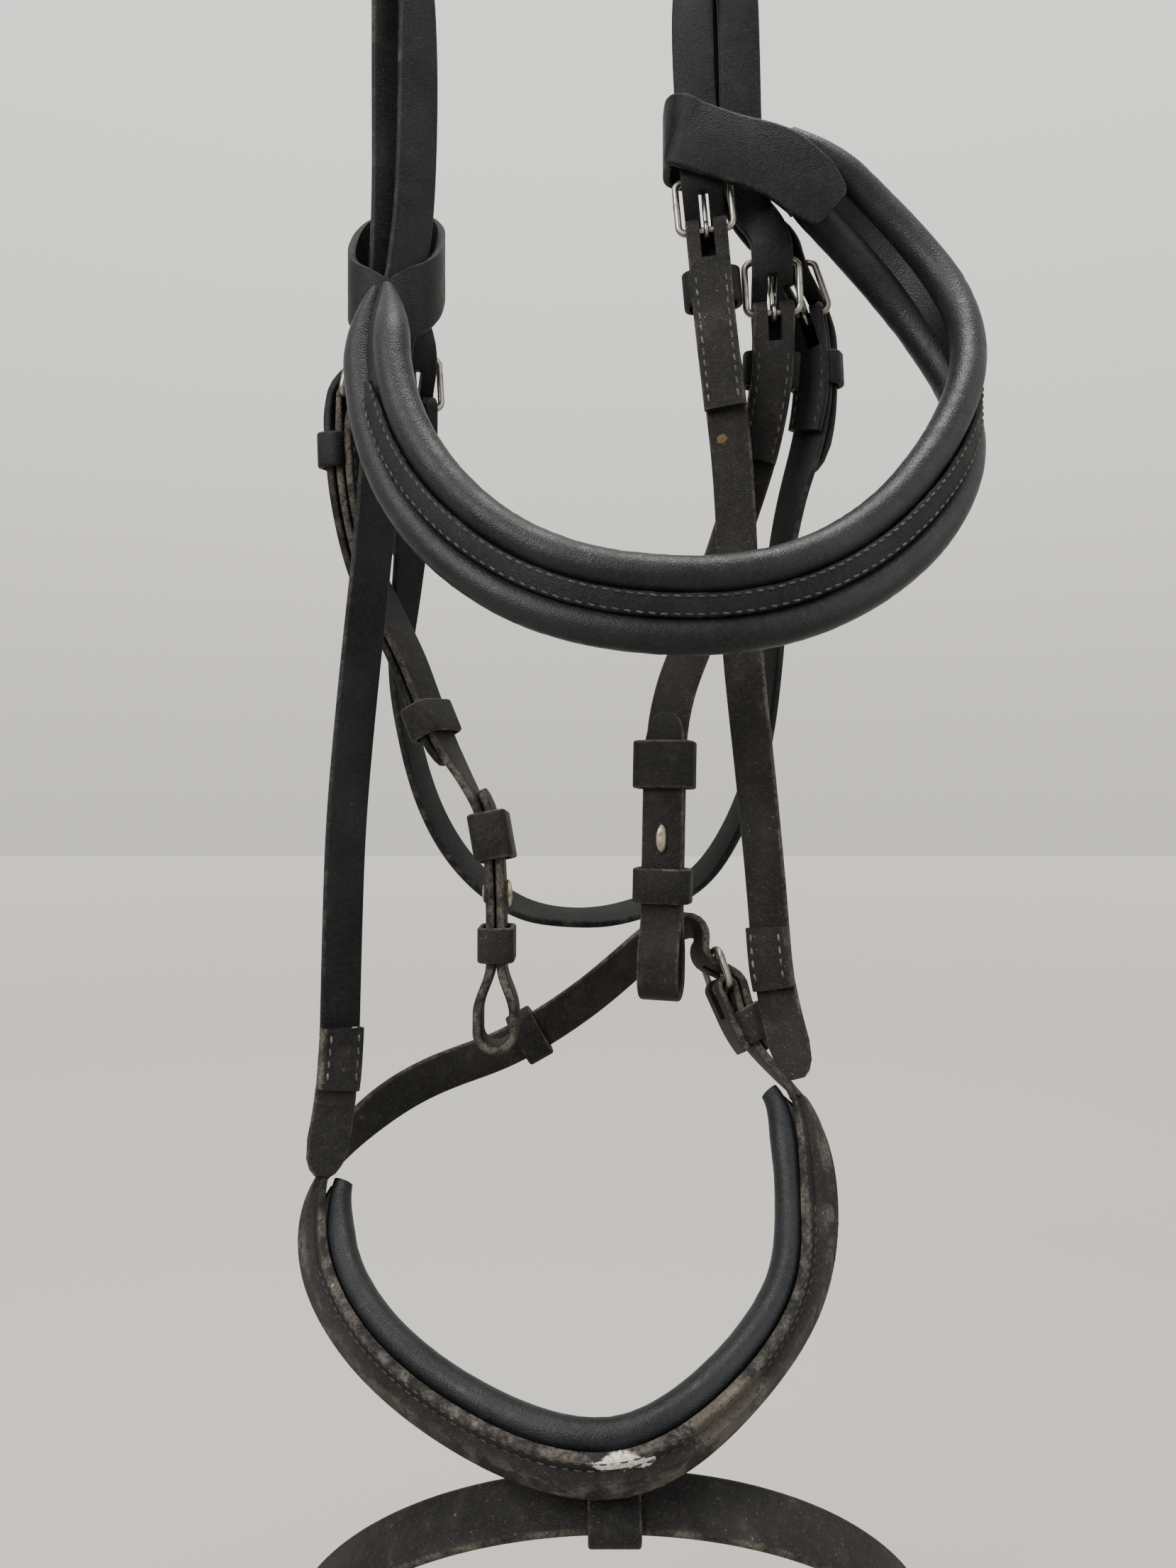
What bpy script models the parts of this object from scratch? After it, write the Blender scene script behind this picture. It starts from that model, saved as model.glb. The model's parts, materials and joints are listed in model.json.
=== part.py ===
"""Dressage bridle hanging by its headpiece: padded browband, cheekpieces with hook stud ends,
throatlash, padded cavesson noseband and flash strap. Blender 4.5, metres, +Z up.

The origin is the underside of the headpiece over the poll, where the bridle hangs.
+X is the bridle's near side, -Y its front, so the browband and the nosepiece bulge to -Y.
"""
import math

import bmesh
import bpy
from mathutils import Vector

# Overall places: shares in the route tables are multiplied by these three
HALF_SPREAD = 0.050
LAYER_DEPTH = 0.010
HANG_LENGTH = 0.500

# Crown
CROWN_RADIUS = 0.046

# Straps
STRAP_WIDTH = 0.013
STRAP_THICKNESS = 0.0028
THROAT_WIDTH = 0.012
FLASH_WIDTH = 0.016
SKIVED_SHARE = 0.72
CORNER_EASE = 0.0006
SEAT_GAP = 0.0005
STATION_STEP = 0.010
CROWN_STEP = 0.007
FINE_STEP = 0.0035
KNOT_STEPS = 10

# Buckles
WIRE_RADIUS = 0.0011
TONGUE_RADIUS = 0.0008
BUCKLE_LENGTH = 0.016
CHIN_BUCKLE_LENGTH = 0.012
BUCKLE_SIDE_GAP = 0.0010
TONGUE_SLOT_WIDTH = 0.0044
BILLET_SLOT_WIDTH = 0.0030
CHAPE_LENGTH = 0.046
NOSE_CHAPE_LENGTH = 0.056
THROAT_CHAPE_LENGTH = 0.038
CHIN_CHAPE_LENGTH = 0.020
RUNNING_GAP = 0.00025

# Billets and their punched holes
HOLE_RADIUS = 0.0013
HOLE_PITCH = 0.012
NOSE_BILLET = 0.056
CHEEK_BILLET = 0.051
OFF_CHEEK_BILLET = 0.122
THROAT_BILLET = 0.050
CHIN_BILLET = 0.024
FLASH_BILLET = 0.062

# Keepers
KEEPER_WALL = 0.0018
KEEPER_HEIGHT = 0.011
RUNNER_HEIGHT = 0.015
KEEPER_GAP = 0.0009
KEEPER_DROP = 0.0170

# Bit ends of the cheekpieces
TAB_LENGTH = 0.084
BIT_LOOP_LENGTH = 0.021
BIT_LOOP_BULGE = 0.0040
STUD_HEAD_RADIUS = 0.0030
STUD_STEM_RADIUS = 0.0013
STUD_HEAD_THICKNESS = 0.0016
# How far up the bit end each thing sits, in tab lengths: tab tip, runner, stud, fixed keeper
NEAR_BIT_END_SHARES = (1.07, 0.88, 0.607, 0.43)
OFF_BIT_END_SHARES = (0.97, 0.80, 0.590, 0.405)

# Browband
BROWBAND_WIDTH = 0.026
BROWBAND_ROLL_RADIUS = 0.0047
BROWBAND_WEB = 0.0034
BROWBAND_STRIP_WIDTH = 0.0060
BROWBAND_STRIP_THICKNESS = 0.0024
LOOP_HEIGHT = 0.021
LOOP_WALL = 0.0024

# Noseband
NOSE_WIDTH = 0.019
NOSE_THICKNESS = 0.0030
NOSE_RAISE = 0.0022
NOSE_PAD_WIDTH = 0.023
NOSE_PAD_THICKNESS = 0.0085
NOSE_PAD_START = 0.008
SEWN_FOLD_LENGTH = 0.018

# Flash strap
FLASH_RADIUS = 0.095
FLASH_DROOP_DEGREES = 60.0
FLASH_LOOP_WIDTH = 0.0136

# Flex lines, where a hanging strap bends and a joint turns
FLEX_GAP = 0.00035
FLEX_BELOW = 0.056


def facing(face, pitch=0.0):
    """Outward direction: face turns in plan from -Y (0) through +X (90), pitch lifts it."""
    turn = math.radians(face)
    lift = math.radians(pitch)
    return Vector((math.sin(turn) * math.cos(lift), -math.cos(turn) * math.cos(lift), math.sin(lift)))


def place(row):
    """A route table's row as a point and an outward direction."""
    point = Vector((row[0] * HALF_SPREAD, row[1] * LAYER_DEPTH, -row[2] * HANG_LENGTH))
    return point, facing(*row[3:])


class Spine:
    """A smooth line in space with an outward direction, which straps and fittings follow."""

    def __init__(self, knots):
        self.points = []
        self.faces = []
        self.lengths = [0.0]
        count = len(knots)
        spans = [(knots[i + 1][0] - knots[i][0]).length for i in range(count - 1)]
        slopes = []
        for i in range(count):
            before = max(i - 1, 0)
            after = min(i + 1, count - 1)
            slopes.append((knots[after][0] - knots[before][0]) / sum(spans[before:after]))
        steps = KNOT_STEPS
        for i in range(count - 1):
            for k in range(steps + (i == count - 2)):
                u = k / steps
                a = 2 * u ** 3 - 3 * u ** 2 + 1
                b = u ** 3 - 2 * u ** 2 + u
                c = -2 * u ** 3 + 3 * u ** 2
                d = u ** 3 - u ** 2
                point = a * knots[i][0] + b * spans[i] * slopes[i]
                point += c * knots[i + 1][0] + d * spans[i] * slopes[i + 1]
                ease = u * u * (3 - 2 * u)
                self.points.append(point)
                self.faces.append((knots[i][1].lerp(knots[i + 1][1], ease)).normalized())
        for i in range(1, len(self.points)):
            self.lengths.append(self.lengths[-1] + (self.points[i] - self.points[i - 1]).length)
        self.length = self.lengths[-1]

    def blend(self, distance):
        """Point and outward direction at a distance along the line."""
        low = 0
        high = len(self.lengths) - 1
        while high - low > 1:
            middle = (low + high) // 2
            if self.lengths[middle] > distance:
                high = middle
            else:
                low = middle
        share = (distance - self.lengths[low]) / (self.lengths[high] - self.lengths[low])
        point = self.points[low].lerp(self.points[high], share)
        return point, self.faces[low].lerp(self.faces[high], share).normalized()

    def frame(self, distance):
        """Point, direction along, width direction and outward direction."""
        probe = self.length / 2000
        ahead = self.blend(distance + probe)[0]
        behind = self.blend(distance - probe)[0]
        point, face = self.blend(distance)
        along = (ahead - behind).normalized()
        across = along.cross(face).normalized()
        return point, along, across, across.cross(along).normalized()

    def at(self, distance, offset=0.0):
        """A strap station: its centre, moved outward by offset, and its width direction."""
        point, along, across, outward = self.frame(distance)
        return point + outward * offset, across

    def knot(self, index):
        """Distance at a knot of the route table."""
        return self.lengths[index * KNOT_STEPS]

    def nearest(self, height, rising):
        """Distance at which the line passes a height, from the start or from the end."""
        order = range(1, len(self.points))
        if not rising:
            order = reversed(order)
        for i in order:
            low = self.points[i - 1].z
            high = self.points[i].z
            if (low - height) * (high - height) <= 0 and low != high:
                share = (height - low) / (high - low)
                return self.lengths[i - 1] + share * (self.lengths[i] - self.lengths[i - 1])
        return 0.0


def steps_between(start, end, step=STATION_STEP):
    """Evenly spaced distances from start to end, both included."""
    count = max(1, round(abs(end - start) / step))
    return [start + (end - start) * i / count for i in range(count + 1)]


def clear_scene():
    for item in list(bpy.data.objects):
        bpy.data.objects.remove(item, do_unlink=True)


def material(name, colour, roughness, metallic=0.0):
    made = bpy.data.materials.new(name)
    made.use_nodes = True
    shader = made.node_tree.nodes["Principled BSDF"]
    shader.inputs["Base Color"].default_value = (*colour, 1.0)
    shader.inputs["Roughness"].default_value = roughness
    shader.inputs["Metallic"].default_value = metallic
    return made


def finish(name, vertices, faces, surface, smooth_degrees=35.0):
    """A mesh object from points and faces, its faces turned outward."""
    mesh = bpy.data.meshes.new(name)
    mesh.from_pydata([tuple(v) for v in vertices], [], faces)
    shape = bmesh.new()
    shape.from_mesh(mesh)
    bmesh.ops.recalc_face_normals(shape, faces=shape.faces)
    shape.to_mesh(mesh)
    shape.free()
    mesh.materials.append(surface)
    mesh.shade_smooth()
    mesh.set_sharp_from_angle(angle=math.radians(smooth_degrees))
    made = bpy.data.objects.new(name, mesh)
    bpy.context.scene.collection.objects.link(made)
    return made


def sweep(name, rings, surface, closed=False):
    """A solid through rings of points; open sweeps get a cap at each end.

    Opposite faces are split along the same diagonal, so a twisted strap keeps its thickness.
    """
    size = len(rings[0])
    vertices = [point for ring in rings for point in ring]
    faces = []
    count = len(rings)
    for i in range(count if closed else count - 1):
        this = i * size
        following = ((i + 1) % count) * size
        for k in range(size):
            right = (k + 1) % size
            a, b, c, d = this + k, this + right, following + right, following + k
            if k < size / 2:
                faces += [(a, b, c), (a, c, d)]
            else:
                faces += [(b, c, d), (b, d, a)]
    if not closed:
        faces.append(tuple(range(size)))
        faces.append(tuple((count - 1) * size + k for k in range(size)))
    return finish(name, vertices, faces, surface)


def flat_section(width, thickness):
    """A strap's section, width first."""
    half = width / 2
    deep = thickness / 2
    return [(-half, -deep), (half, -deep), (half, deep), (-half, deep)]


def end_direction(first, second, third):
    """Direction of a curve at its first point, from three points."""
    near = (second - first).length
    far = (third - first).length
    return (second - first) / near * far - (third - first) / far * near


def station_frames(stations):
    """Centre, width direction and thickness direction at each station."""
    frames = []
    last = len(stations) - 1
    places = [station[0] for station in stations]
    for i, (centre, across) in enumerate(stations):
        along = places[min(i + 1, last)] - places[max(i - 1, 0)]
        if i == 0 and last > 1:
            along = end_direction(places[0], places[1], places[2])
        if i == last and last > 1:
            along = -end_direction(places[last], places[last - 1], places[last - 2])
        along.normalize()
        outward = across.cross(along).normalized()
        frames.append((centre, along.cross(outward).normalized(), outward))
    return frames


def strap(name, stations, width, thickness, surface, width_shares=None, thick_shares=None):
    """A flat strap through stations of centre and width direction."""
    rings = []
    for i, (centre, across, outward) in enumerate(station_frames(stations)):
        wide = width * (width_shares[i] if width_shares else 1)
        thick = thickness * (thick_shares[i] if thick_shares else 1)
        rings.append([centre + across * a + outward * b for a, b in flat_section(wide, thick)])
    return sweep(name, rings, surface)


TIP_SHARES = ((0.0, 0.34), (0.12, 0.62), (0.35, 0.86), (0.8, 1.0))


def tip_distances(tip, inward, width):
    """Distances and width shares of a rounded strap end that starts at tip."""
    return [(tip + inward * back * width, wide) for back, wide in TIP_SHARES]


class Buckle:
    """Where a single-bar buckle sits on a spine, and the lines of the straps in it.

    side is +1 if the billet comes from further along the spine, and -1 if from before.
    """

    def __init__(self, spine, bar, side, width, chape, length=BUCKLE_LENGTH):
        self.spine = spine
        self.length = length
        self.bar = bar
        self.side = side
        self.width = width
        self.chape = chape
        self.layer = STRAP_THICKNESS + SEAT_GAP
        self.bar_offset = -self.layer / 2
        self.skived = STRAP_THICKNESS * SKIVED_SHARE
        self.lobe_radius = WIRE_RADIUS + SEAT_GAP + self.skived / 2
        point, along, across, outward = spine.frame(bar)
        far = spine.blend(bar + side * self.length)[0]
        self.along = (far - point).normalized()
        self.across = across
        self.outward = across.cross(self.along * side).normalized()
        self.across = (self.along * side).cross(self.outward).normalized()
        self.centre = point + self.outward * self.bar_offset

    def local(self, ahead, lift):
        """A point beside the bar: ahead towards the billet, lift outward from the bar's centre."""
        return self.centre + self.along * ahead + self.outward * lift

    def fold_stations(self):
        """The chape: from its cut end up the inner side, round the bar, to the strap's own layer."""
        near = self.lobe_radius * 3
        made = []
        for back in steps_between(self.chape, near, STATION_STEP / 2):
            made.append((self.spine.at(self.bar - self.side * back, -self.layer), 1.0))
        turns = 6
        for k in range(turns + 1):
            angle = math.pi * (k / turns - 0.5)
            point = self.local(self.lobe_radius * math.cos(angle), self.lobe_radius * math.sin(angle))
            made.append(((point, self.across), SKIVED_SHARE))
        return made

    def main_start(self):
        """Distance where the strap's own layer is settled below the bar."""
        return self.bar - self.side * self.lobe_radius * 4

    def billet_offset(self, ahead):
        """How far outward of the spine the billet lies, behind the far bar and over the chape."""
        under = self.bar_offset - WIRE_RADIUS - SEAT_GAP - STRAP_THICKNESS / 2
        over = self.bar_offset + self.lobe_radius + self.skived / 2 + SEAT_GAP + STRAP_THICKNESS / 2
        span = self.length
        profile = ((-0.75, self.layer * 1.05), (-0.4, self.layer * 1.1), (0.0, over * 1.04), (0.2, over * 0.82),
                   (0.38, self.layer * 0.42), (0.58, under * 0.3), (0.76, under * 0.84), (0.98, under * 1.05),
                   (1.2, under * 0.95), (1.55, under * 0.45), (1.95, 0.0))
        share = ahead / span
        if share <= profile[0][0]:
            return profile[0][1]
        for (s0, h0), (s1, h1) in zip(profile, profile[1:]):
            if share <= s1:
                u = (share - s0) / (s1 - s0)
                return h0 + (h1 - h0) * u
        return 0.0

    def billet_station(self, ahead):
        """The billet's station ahead of the bar: straight through the frame, on the spine elsewhere."""
        offset = self.billet_offset(ahead)
        place_on, across_on = self.spine.at(self.bar + self.side * ahead, offset)
        share = ahead / self.length
        straight = min(1.0, max(0.0, (share + 0.9) / 0.6), max(0.0, (2.0 - share) / 0.75))
        inside = self.local(ahead, offset - self.bar_offset)
        return place_on.lerp(inside, straight), across_on.lerp(self.across, straight).normalized()

    def tip_stations(self, tip_length, end, width):
        """From the billet's rounded tip to the distance end below the bar."""
        made = []
        tip = self.bar - self.side * tip_length
        for distance, wide in tip_distances(tip, self.side, width):
            made.append((self.billet_station((distance - self.bar) * self.side), wide))
        clear = TIP_SHARES[-1][0] * width
        for ahead in steps_between(-tip_length + clear, -end, STATION_STEP / 2)[1:]:
            made.append((self.billet_station(ahead), 1.0))
        return made

    def billet_stations(self, tip_length, start, width, square=False):
        """From the billet's tip, over the chape, through the frame and up to start."""
        near = -0.5 * self.length
        far = 2.0 * self.length
        if square:
            marks = steps_between(-tip_length, near, STATION_STEP / 2)
            made = [(self.billet_station(ahead), 1.0) for ahead in marks]
        else:
            made = self.tip_stations(tip_length, -near, width)
        for ahead in steps_between(near, far, FINE_STEP)[1:]:
            made.append((self.billet_station(ahead), 1.0))
        for distance in steps_between(self.bar + self.side * far, start, CROWN_STEP)[1:]:
            made.append((self.spine.at(distance), 1.0))
        return made


def round_ring(centre, first, second, radius, sides):
    """Points of a circle in the plane of two directions."""
    return [centre + first * radius * math.cos(2 * math.pi * k / sides)
            + second * radius * math.sin(2 * math.pi * k / sides) for k in range(sides)]


def tube(name, points, radii, surface, closed=False, sides=6, guide=None):
    """A round wire through points."""
    rings = []
    count = len(points)
    for i, point in enumerate(points):
        before = points[(i - 1) % count] if closed else points[max(i - 1, 0)]
        after = points[(i + 1) % count] if closed else points[min(i + 1, count - 1)]
        along = (after - before).normalized()
        first = guide.cross(along).normalized()
        rings.append(round_ring(point, first, along.cross(first), radii[i], sides))
    return sweep(name, rings, surface, closed)


def buckle_frame(name, buckle, surface):
    """A rectangular wire frame with rounded corners, its heel bar in the chape."""
    half = buckle.width / 2 + BUCKLE_SIDE_GAP + WIRE_RADIUS
    corner = WIRE_RADIUS * 2.2
    points = []
    for side_a, side_b, first in ((1, 0, 0), (1, 1, 1), (-1, 1, 2), (-1, 0, 3)):
        centre_a = side_a * (half - corner)
        centre_b = buckle.length - corner if side_b else corner
        for k in range(3):
            angle = math.pi / 2 * (first - 1 + k / 2)
            a = centre_a + corner * math.cos(angle)
            b = centre_b + corner * math.sin(angle)
            points.append(buckle.centre + buckle.across * a + buckle.along * b)
    return tube(name, points, [WIRE_RADIUS] * len(points), surface, True, 8, buckle.outward)


def buckle_tongue(name, buckle, surface):
    """A tongue that curls round the heel bar and lies over the far bar."""
    radius = WIRE_RADIUS + RUNNING_GAP + TONGUE_RADIUS
    points = []
    turns = 9
    for k in range(turns + 1):
        angle = math.radians(-200 + 290 * k / turns)
        points.append(buckle.local(radius * math.cos(angle) * -1, radius * math.sin(angle)))
    points.reverse()
    rest = radius
    for share in (0.35, 0.7, 1.0, 1.13):
        points.insert(0, buckle.local(buckle.length * share, rest))
    radii = [TONGUE_RADIUS * 0.6] + [TONGUE_RADIUS] * (len(points) - 1)
    return tube(name, points, radii, surface, False, 6, buckle.across)


def band(name, centre, along, across, outward, inner_width, inner_depth, wall, height, surface):
    """A keeper: a strap closed into a rounded rectangular ring, standing along the strap."""
    corner = CORNER_EASE
    outlines = []
    for grow in (0.0, wall):
        outline = []
        half_a = inner_width / 2 + grow
        half_b = inner_depth / 2 + grow
        radius = corner + grow
        for side_a, side_b, first in ((1, 1, 0), (-1, 1, 1), (-1, -1, 2), (1, -1, 3)):
            for k in range(3):
                angle = math.pi / 2 * (first + k / 2)
                outline.append((side_a * (half_a - radius) + radius * math.cos(angle),
                                side_b * (half_b - radius) + radius * math.sin(angle)))
        outlines.append(outline)
    inner, outer = outlines
    rings = []
    for a, b in zip(inner, outer):
        rings.append([centre + across * p[0] + outward * p[1] + along * (height * z)
                      for p, z in ((a, -0.5), (b, -0.5), (b, 0.5), (a, 0.5))])
    return sweep(name, rings, surface, True)


def keeper(name, spine, distance, width, low, high, height, surface, gap=KEEPER_GAP):
    """A keeper round the layers between the offsets low and high."""
    point, along, across, outward = spine.frame(distance)
    centre = point + outward * (low + high) / 2
    return band(name, centre, along, across, outward, width + 2 * gap, high - low + 2 * gap,
                KEEPER_WALL, height, surface)


def cutter(name, pieces):
    """One hidden cutter from several box or round prisms, each a pair of rings."""
    vertices = []
    faces = []
    for low, high in pieces:
        start = len(vertices)
        size = len(low)
        vertices.extend(low)
        vertices.extend(high)
        for k in range(size):
            right = (k + 1) % size
            faces.append((start + k, start + right, start + size + right, start + size + k))
        faces.append(tuple(start + k for k in range(size)))
        faces.append(tuple(start + size + k for k in range(size)))
    mesh = bpy.data.meshes.new(name)
    mesh.from_pydata([tuple(v) for v in vertices], [], faces)
    shape = bmesh.new()
    shape.from_mesh(mesh)
    bmesh.ops.recalc_face_normals(shape, faces=shape.faces)
    shape.to_mesh(mesh)
    shape.free()
    made = bpy.data.objects.new(name, mesh)
    made.hide_render = True
    made.display_type = "WIRE"
    bpy.context.scene.collection.objects.link(made)
    return made


def cut(target, pieces):
    """Cuts prisms out of a strap."""
    if not pieces:
        return
    tool = cutter(target.name + "_cutter_" + str(len(target.modifiers)), pieces)
    change = target.modifiers.new("cut", "BOOLEAN")
    change.operation = "DIFFERENCE"
    change.object = tool


def round_prism(centre, first, second, outward, radius, depth, sides=8):
    low = round_ring(centre - outward * depth, first, second, radius, sides)
    high = round_ring(centre + outward * depth, first, second, radius, sides)
    return low, high


def box_prism(centre, along, across, outward, start, end, half_width, depth):
    corners = ((start, -half_width), (end, -half_width), (end, half_width), (start, half_width))
    low = [centre + along * a + across * b - outward * depth for a, b in corners]
    high = [centre + along * a + across * b + outward * depth for a, b in corners]
    return low, high


def chape_slot(buckle):
    """The slot in the fold for the tongue."""
    reach = buckle.lobe_radius + buckle.skived
    return box_prism(buckle.centre, buckle.along, buckle.across, buckle.outward, -reach * 2.0, reach * 1.4,
                     TONGUE_SLOT_WIDTH / 2, reach * 2)


def billet_slot(buckle):
    """The punched hole that the tongue passes through."""
    reach = buckle.lobe_radius + buckle.skived
    return box_prism(buckle.centre, buckle.along, buckle.across, buckle.outward,
                     buckle.length * 0.08, buckle.length * 0.72, BILLET_SLOT_WIDTH / 2, reach * 3)


def punched_holes(buckle, first, count):
    """Round holes along the billet; first counts pitches from the bar, minus is towards the tip."""
    made = []
    for k in range(count):
        ahead = (first + k) * HOLE_PITCH
        distance = buckle.bar + buckle.side * ahead
        point, along, across, outward = buckle.spine.frame(distance)
        centre = buckle.billet_station(ahead)[0]
        made.append(round_prism(centre, along, across, outward, HOLE_RADIUS, STRAP_THICKNESS))
    return made


# Routes: across in half spreads, depth in layers, drop in hang lengths, face and pitch in degrees
def arch_rows(radius, depth):
    """The crown's half circle as knots, from the near side to the off side."""
    knots = []
    for angle in (72, 48, 24, 0, -24, -48, -72):
        turn = math.radians(angle)
        point = Vector((radius * math.sin(turn), depth, -CROWN_RADIUS + radius * math.cos(turn)))
        knots.append((point, Vector((math.sin(turn), 0, math.cos(turn)))))
    return knots


NOSE_NEAR_SHARES = [
    (1.332, 0.00, 0.768, 150), (1.305, 0.00, 0.735, 150), (1.250, 0.00, 0.678, 152), (1.160, 0.00, 0.590, 155),
    (1.110, 0.00, 0.490, 158), (1.060, 0.00, 0.440, 165), (0.998, 0.00, 0.394, 172), (0.962, 0.00, 0.356, 172),
    (0.926, 0.00, 0.318, 172), (0.892, 0.00, 0.282, 172), (0.866, 0.00, 0.248, 176), (0.850, 0.00, 0.205, 172),
    (0.866, 0.00, 0.160, 140), (0.930, 0.00, 0.112, 102)]
NOSE_OFF_SHARES = [
    (-0.936, 0.00, 0.104, -96), (-0.910, -0.10, 0.144, -112), (-0.872, -0.25, 0.188, -138),
    (-0.866, -0.30, 0.254, -150), (-0.888, -0.30, 0.320, -150), (-0.940, -0.35, 0.364, -148),
    (-1.020, -0.40, 0.410, -145), (-1.080, -0.45, 0.460, -145), (-1.130, -0.45, 0.524, -145),
    (-1.228, -0.40, 0.615, -145), (-1.308, -0.30, 0.700, -145), (-1.340, -0.15, 0.766, -145),
    (-1.362, 0.00, 0.830, -145)]
CHEEK_NEAR_SHARES = [
    (0.660, 0.20, 0.816, 165), (0.668, 0.20, 0.772, 165), (0.676, 0.20, 0.728, 165), (0.684, 0.20, 0.684, 165),
    (0.696, 0.30, 0.648, 166), (0.760, 0.60, 0.618, 168), (0.870, 0.95, 0.590, 172), (1.030, 1.30, 0.548, 175),
    (1.170, 1.45, 0.506, 178), (1.290, 1.30, 0.468, 178), (1.365, 0.95, 0.428, 178), (1.378, 0.75, 0.398, 178),
    (1.375, 0.65, 0.372, 178), (1.355, 0.55, 0.345, 178), (1.280, 0.42, 0.326, 178), (1.190, 0.28, 0.304, 179),
    (1.165, 0.20, 0.276, 180), (1.155, 0.14, 0.248, 180), (1.146, 0.10, 0.215, 180), (1.130, 0.05, 0.180, 172), (1.085, -0.20, 0.142, 138),
    (1.035, -0.50, 0.106, 102)]
CHEEK_OFF_SHARES = [
    (-1.030, -0.50, 0.104, -96), (-1.050, -0.20, 0.144, -112), (-1.052, 0.15, 0.188, -138),
    (-1.046, 0.25, 0.254, -150), (-1.052, 0.30, 0.320, -148), (-1.085, 0.34, 0.362, -138),
    (-1.130, 0.42, 0.377, -127), (-1.205, 0.55, 0.392, -117), (-1.275, 0.66, 0.412, -111),
    (-1.325, 0.74, 0.434, -109),
    (-1.345, 0.80, 0.470, -108), (-1.305, 1.00, 0.506, -110), (-1.220, 1.20, 0.540, -115),
    (-1.100, 1.30, 0.568, -120), (-0.950, 1.20, 0.598, -121), (-0.830, 0.98, 0.628, -119),
    (-0.700, 0.72, 0.658, -112), (-0.570, 0.47, 0.680, -102), (-0.475, 0.27, 0.700, -95),
    (-0.424, 0.13, 0.726, -90), (-0.410, 0.06, 0.770, -90), (-0.412, 0.04, 0.810, -90),
    (-0.414, 0.02, 0.848, -90)]
THROAT_SHARES_OFF_TOP = [
    (-1.005, 1.36, 0.362, -152), (-1.015, 1.14, 0.320, -150), (-1.010, 0.92, 0.254, -150),
    (-1.020, 0.85, 0.188, -138), (-1.030, 0.75, 0.144, -112), (-1.025, 0.68, 0.104, -96)]
THROAT_SHARES_AROUND = [
    (1.030, 0.68, 0.106, 102), (1.062, 0.68, 0.142, 138), (1.100, 0.64, 0.180, 172), (1.120, 0.60, 0.215, 180),
    (1.135, 0.62, 0.248, 180), (1.160, 0.70, 0.280, 180), (1.180, 0.70, 0.309, 178),
    (1.350, 1.18, 0.326, 170), (1.520, 1.60, 0.343, 160), (1.615, 1.83, 0.361, 154), (1.670, 1.97, 0.384, 152), (1.696, 2.00, 0.416, 150), (1.660, 2.00, 0.450, 138),
    (1.545, 2.10, 0.492, 126), (1.460, 2.40, 0.544, 118), (1.430, 2.80, 0.600, 113), (1.370, 3.30, 0.658, 110, -8),
    (1.210, 3.70, 0.708, 114, -22), (0.940, 4.00, 0.748, 130, -45), (0.440, 4.10, 0.770, 165, -65),
    (0.050, 4.10, 0.773, 180, -72), (-0.310, 4.10, 0.765, -162, -64), (-0.670, 3.90, 0.735, -130, -42),
    (-0.910, 3.60, 0.692, -118, -18), (-1.050, 3.30, 0.636, -113, -6), (-1.080, 3.00, 0.596, -115),
    (-1.020, 2.55, 0.548, -130), (-0.965, 2.28, 0.496, -150), (-0.940, 2.08, 0.456, -156),
    (-0.940, 1.94, 0.424, -157), (-0.955, 1.78, 0.398, -156), (-0.985, 1.54, 0.376, -153),
    (-1.005, 1.36, 0.3625, -152)]
BAND_SHARES = [
    (0.340, -7.70, 1.026, 0, -34), (0.660, -7.30, 1.018, 11, -32), (0.980, -6.20, 1.004, 25, -30),
    (1.290, -4.70, 0.986, 36, -25), (1.500, -3.40, 0.962, 42, -18), (1.570, -2.20, 0.930, 50, -10),
    (1.545, -1.20, 0.900, 62), (1.460, -0.30, 0.873, 78), (1.340, 0.42, 0.862, 92), (1.200, 0.78, 0.842, 100),
    (1.105, 1.00, 0.818, 105), (1.050, 1.22, 0.799, 109, 8), (0.985, 1.48, 0.782, 117, 28),
    (0.885, 1.84, 0.772, 134, 52), (0.725, 2.30, 0.776, 154, 50), (0.490, 2.82, 0.799, 167, 30),
    (0.160, 3.10, 0.828, 175, 10), (-0.230, 3.12, 0.853, -178),
    (-0.480, 2.94, 0.864, -171), (-0.740, 2.52, 0.871, -162), (-1.000, 1.88, 0.881, -150),
    (-1.200, 1.10, 0.893, -132), (-1.335, 0.35, 0.904, -110), (-1.425, -0.50, 0.918, -86),
    (-1.480, -1.40, 0.938, -64, -6), (-1.400, -2.60, 0.966, -46, -14), (-1.130, -4.10, 0.991, -36, -23),
    (-0.790, -5.45, 1.007, -26, -29), (-0.410, -6.60, 1.018, -14, -32), (-0.040, -7.40, 1.025, -6, -34),
    (0.340, -7.70, 1.026, 0, -34)]
NEAR_LOOP_END_SHARES = [
    (1.334, 0.00, 0.7695, 150), (1.385, -0.04, 0.798, 136), (1.460, -0.10, 0.828, 112), (1.540, -0.18, 0.856, 94),
    (1.590, -0.26, 0.880, 86)]
OFF_LOOP_END_SHARES = [
    (-1.363, 0.00, 0.8325, -145), (-1.420, -0.08, 0.858, -122), (-1.478, -0.23, 0.882, -101),
    (-1.520, -0.36, 0.900, -92), (-1.545, -0.44, 0.918, -88)]
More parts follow.
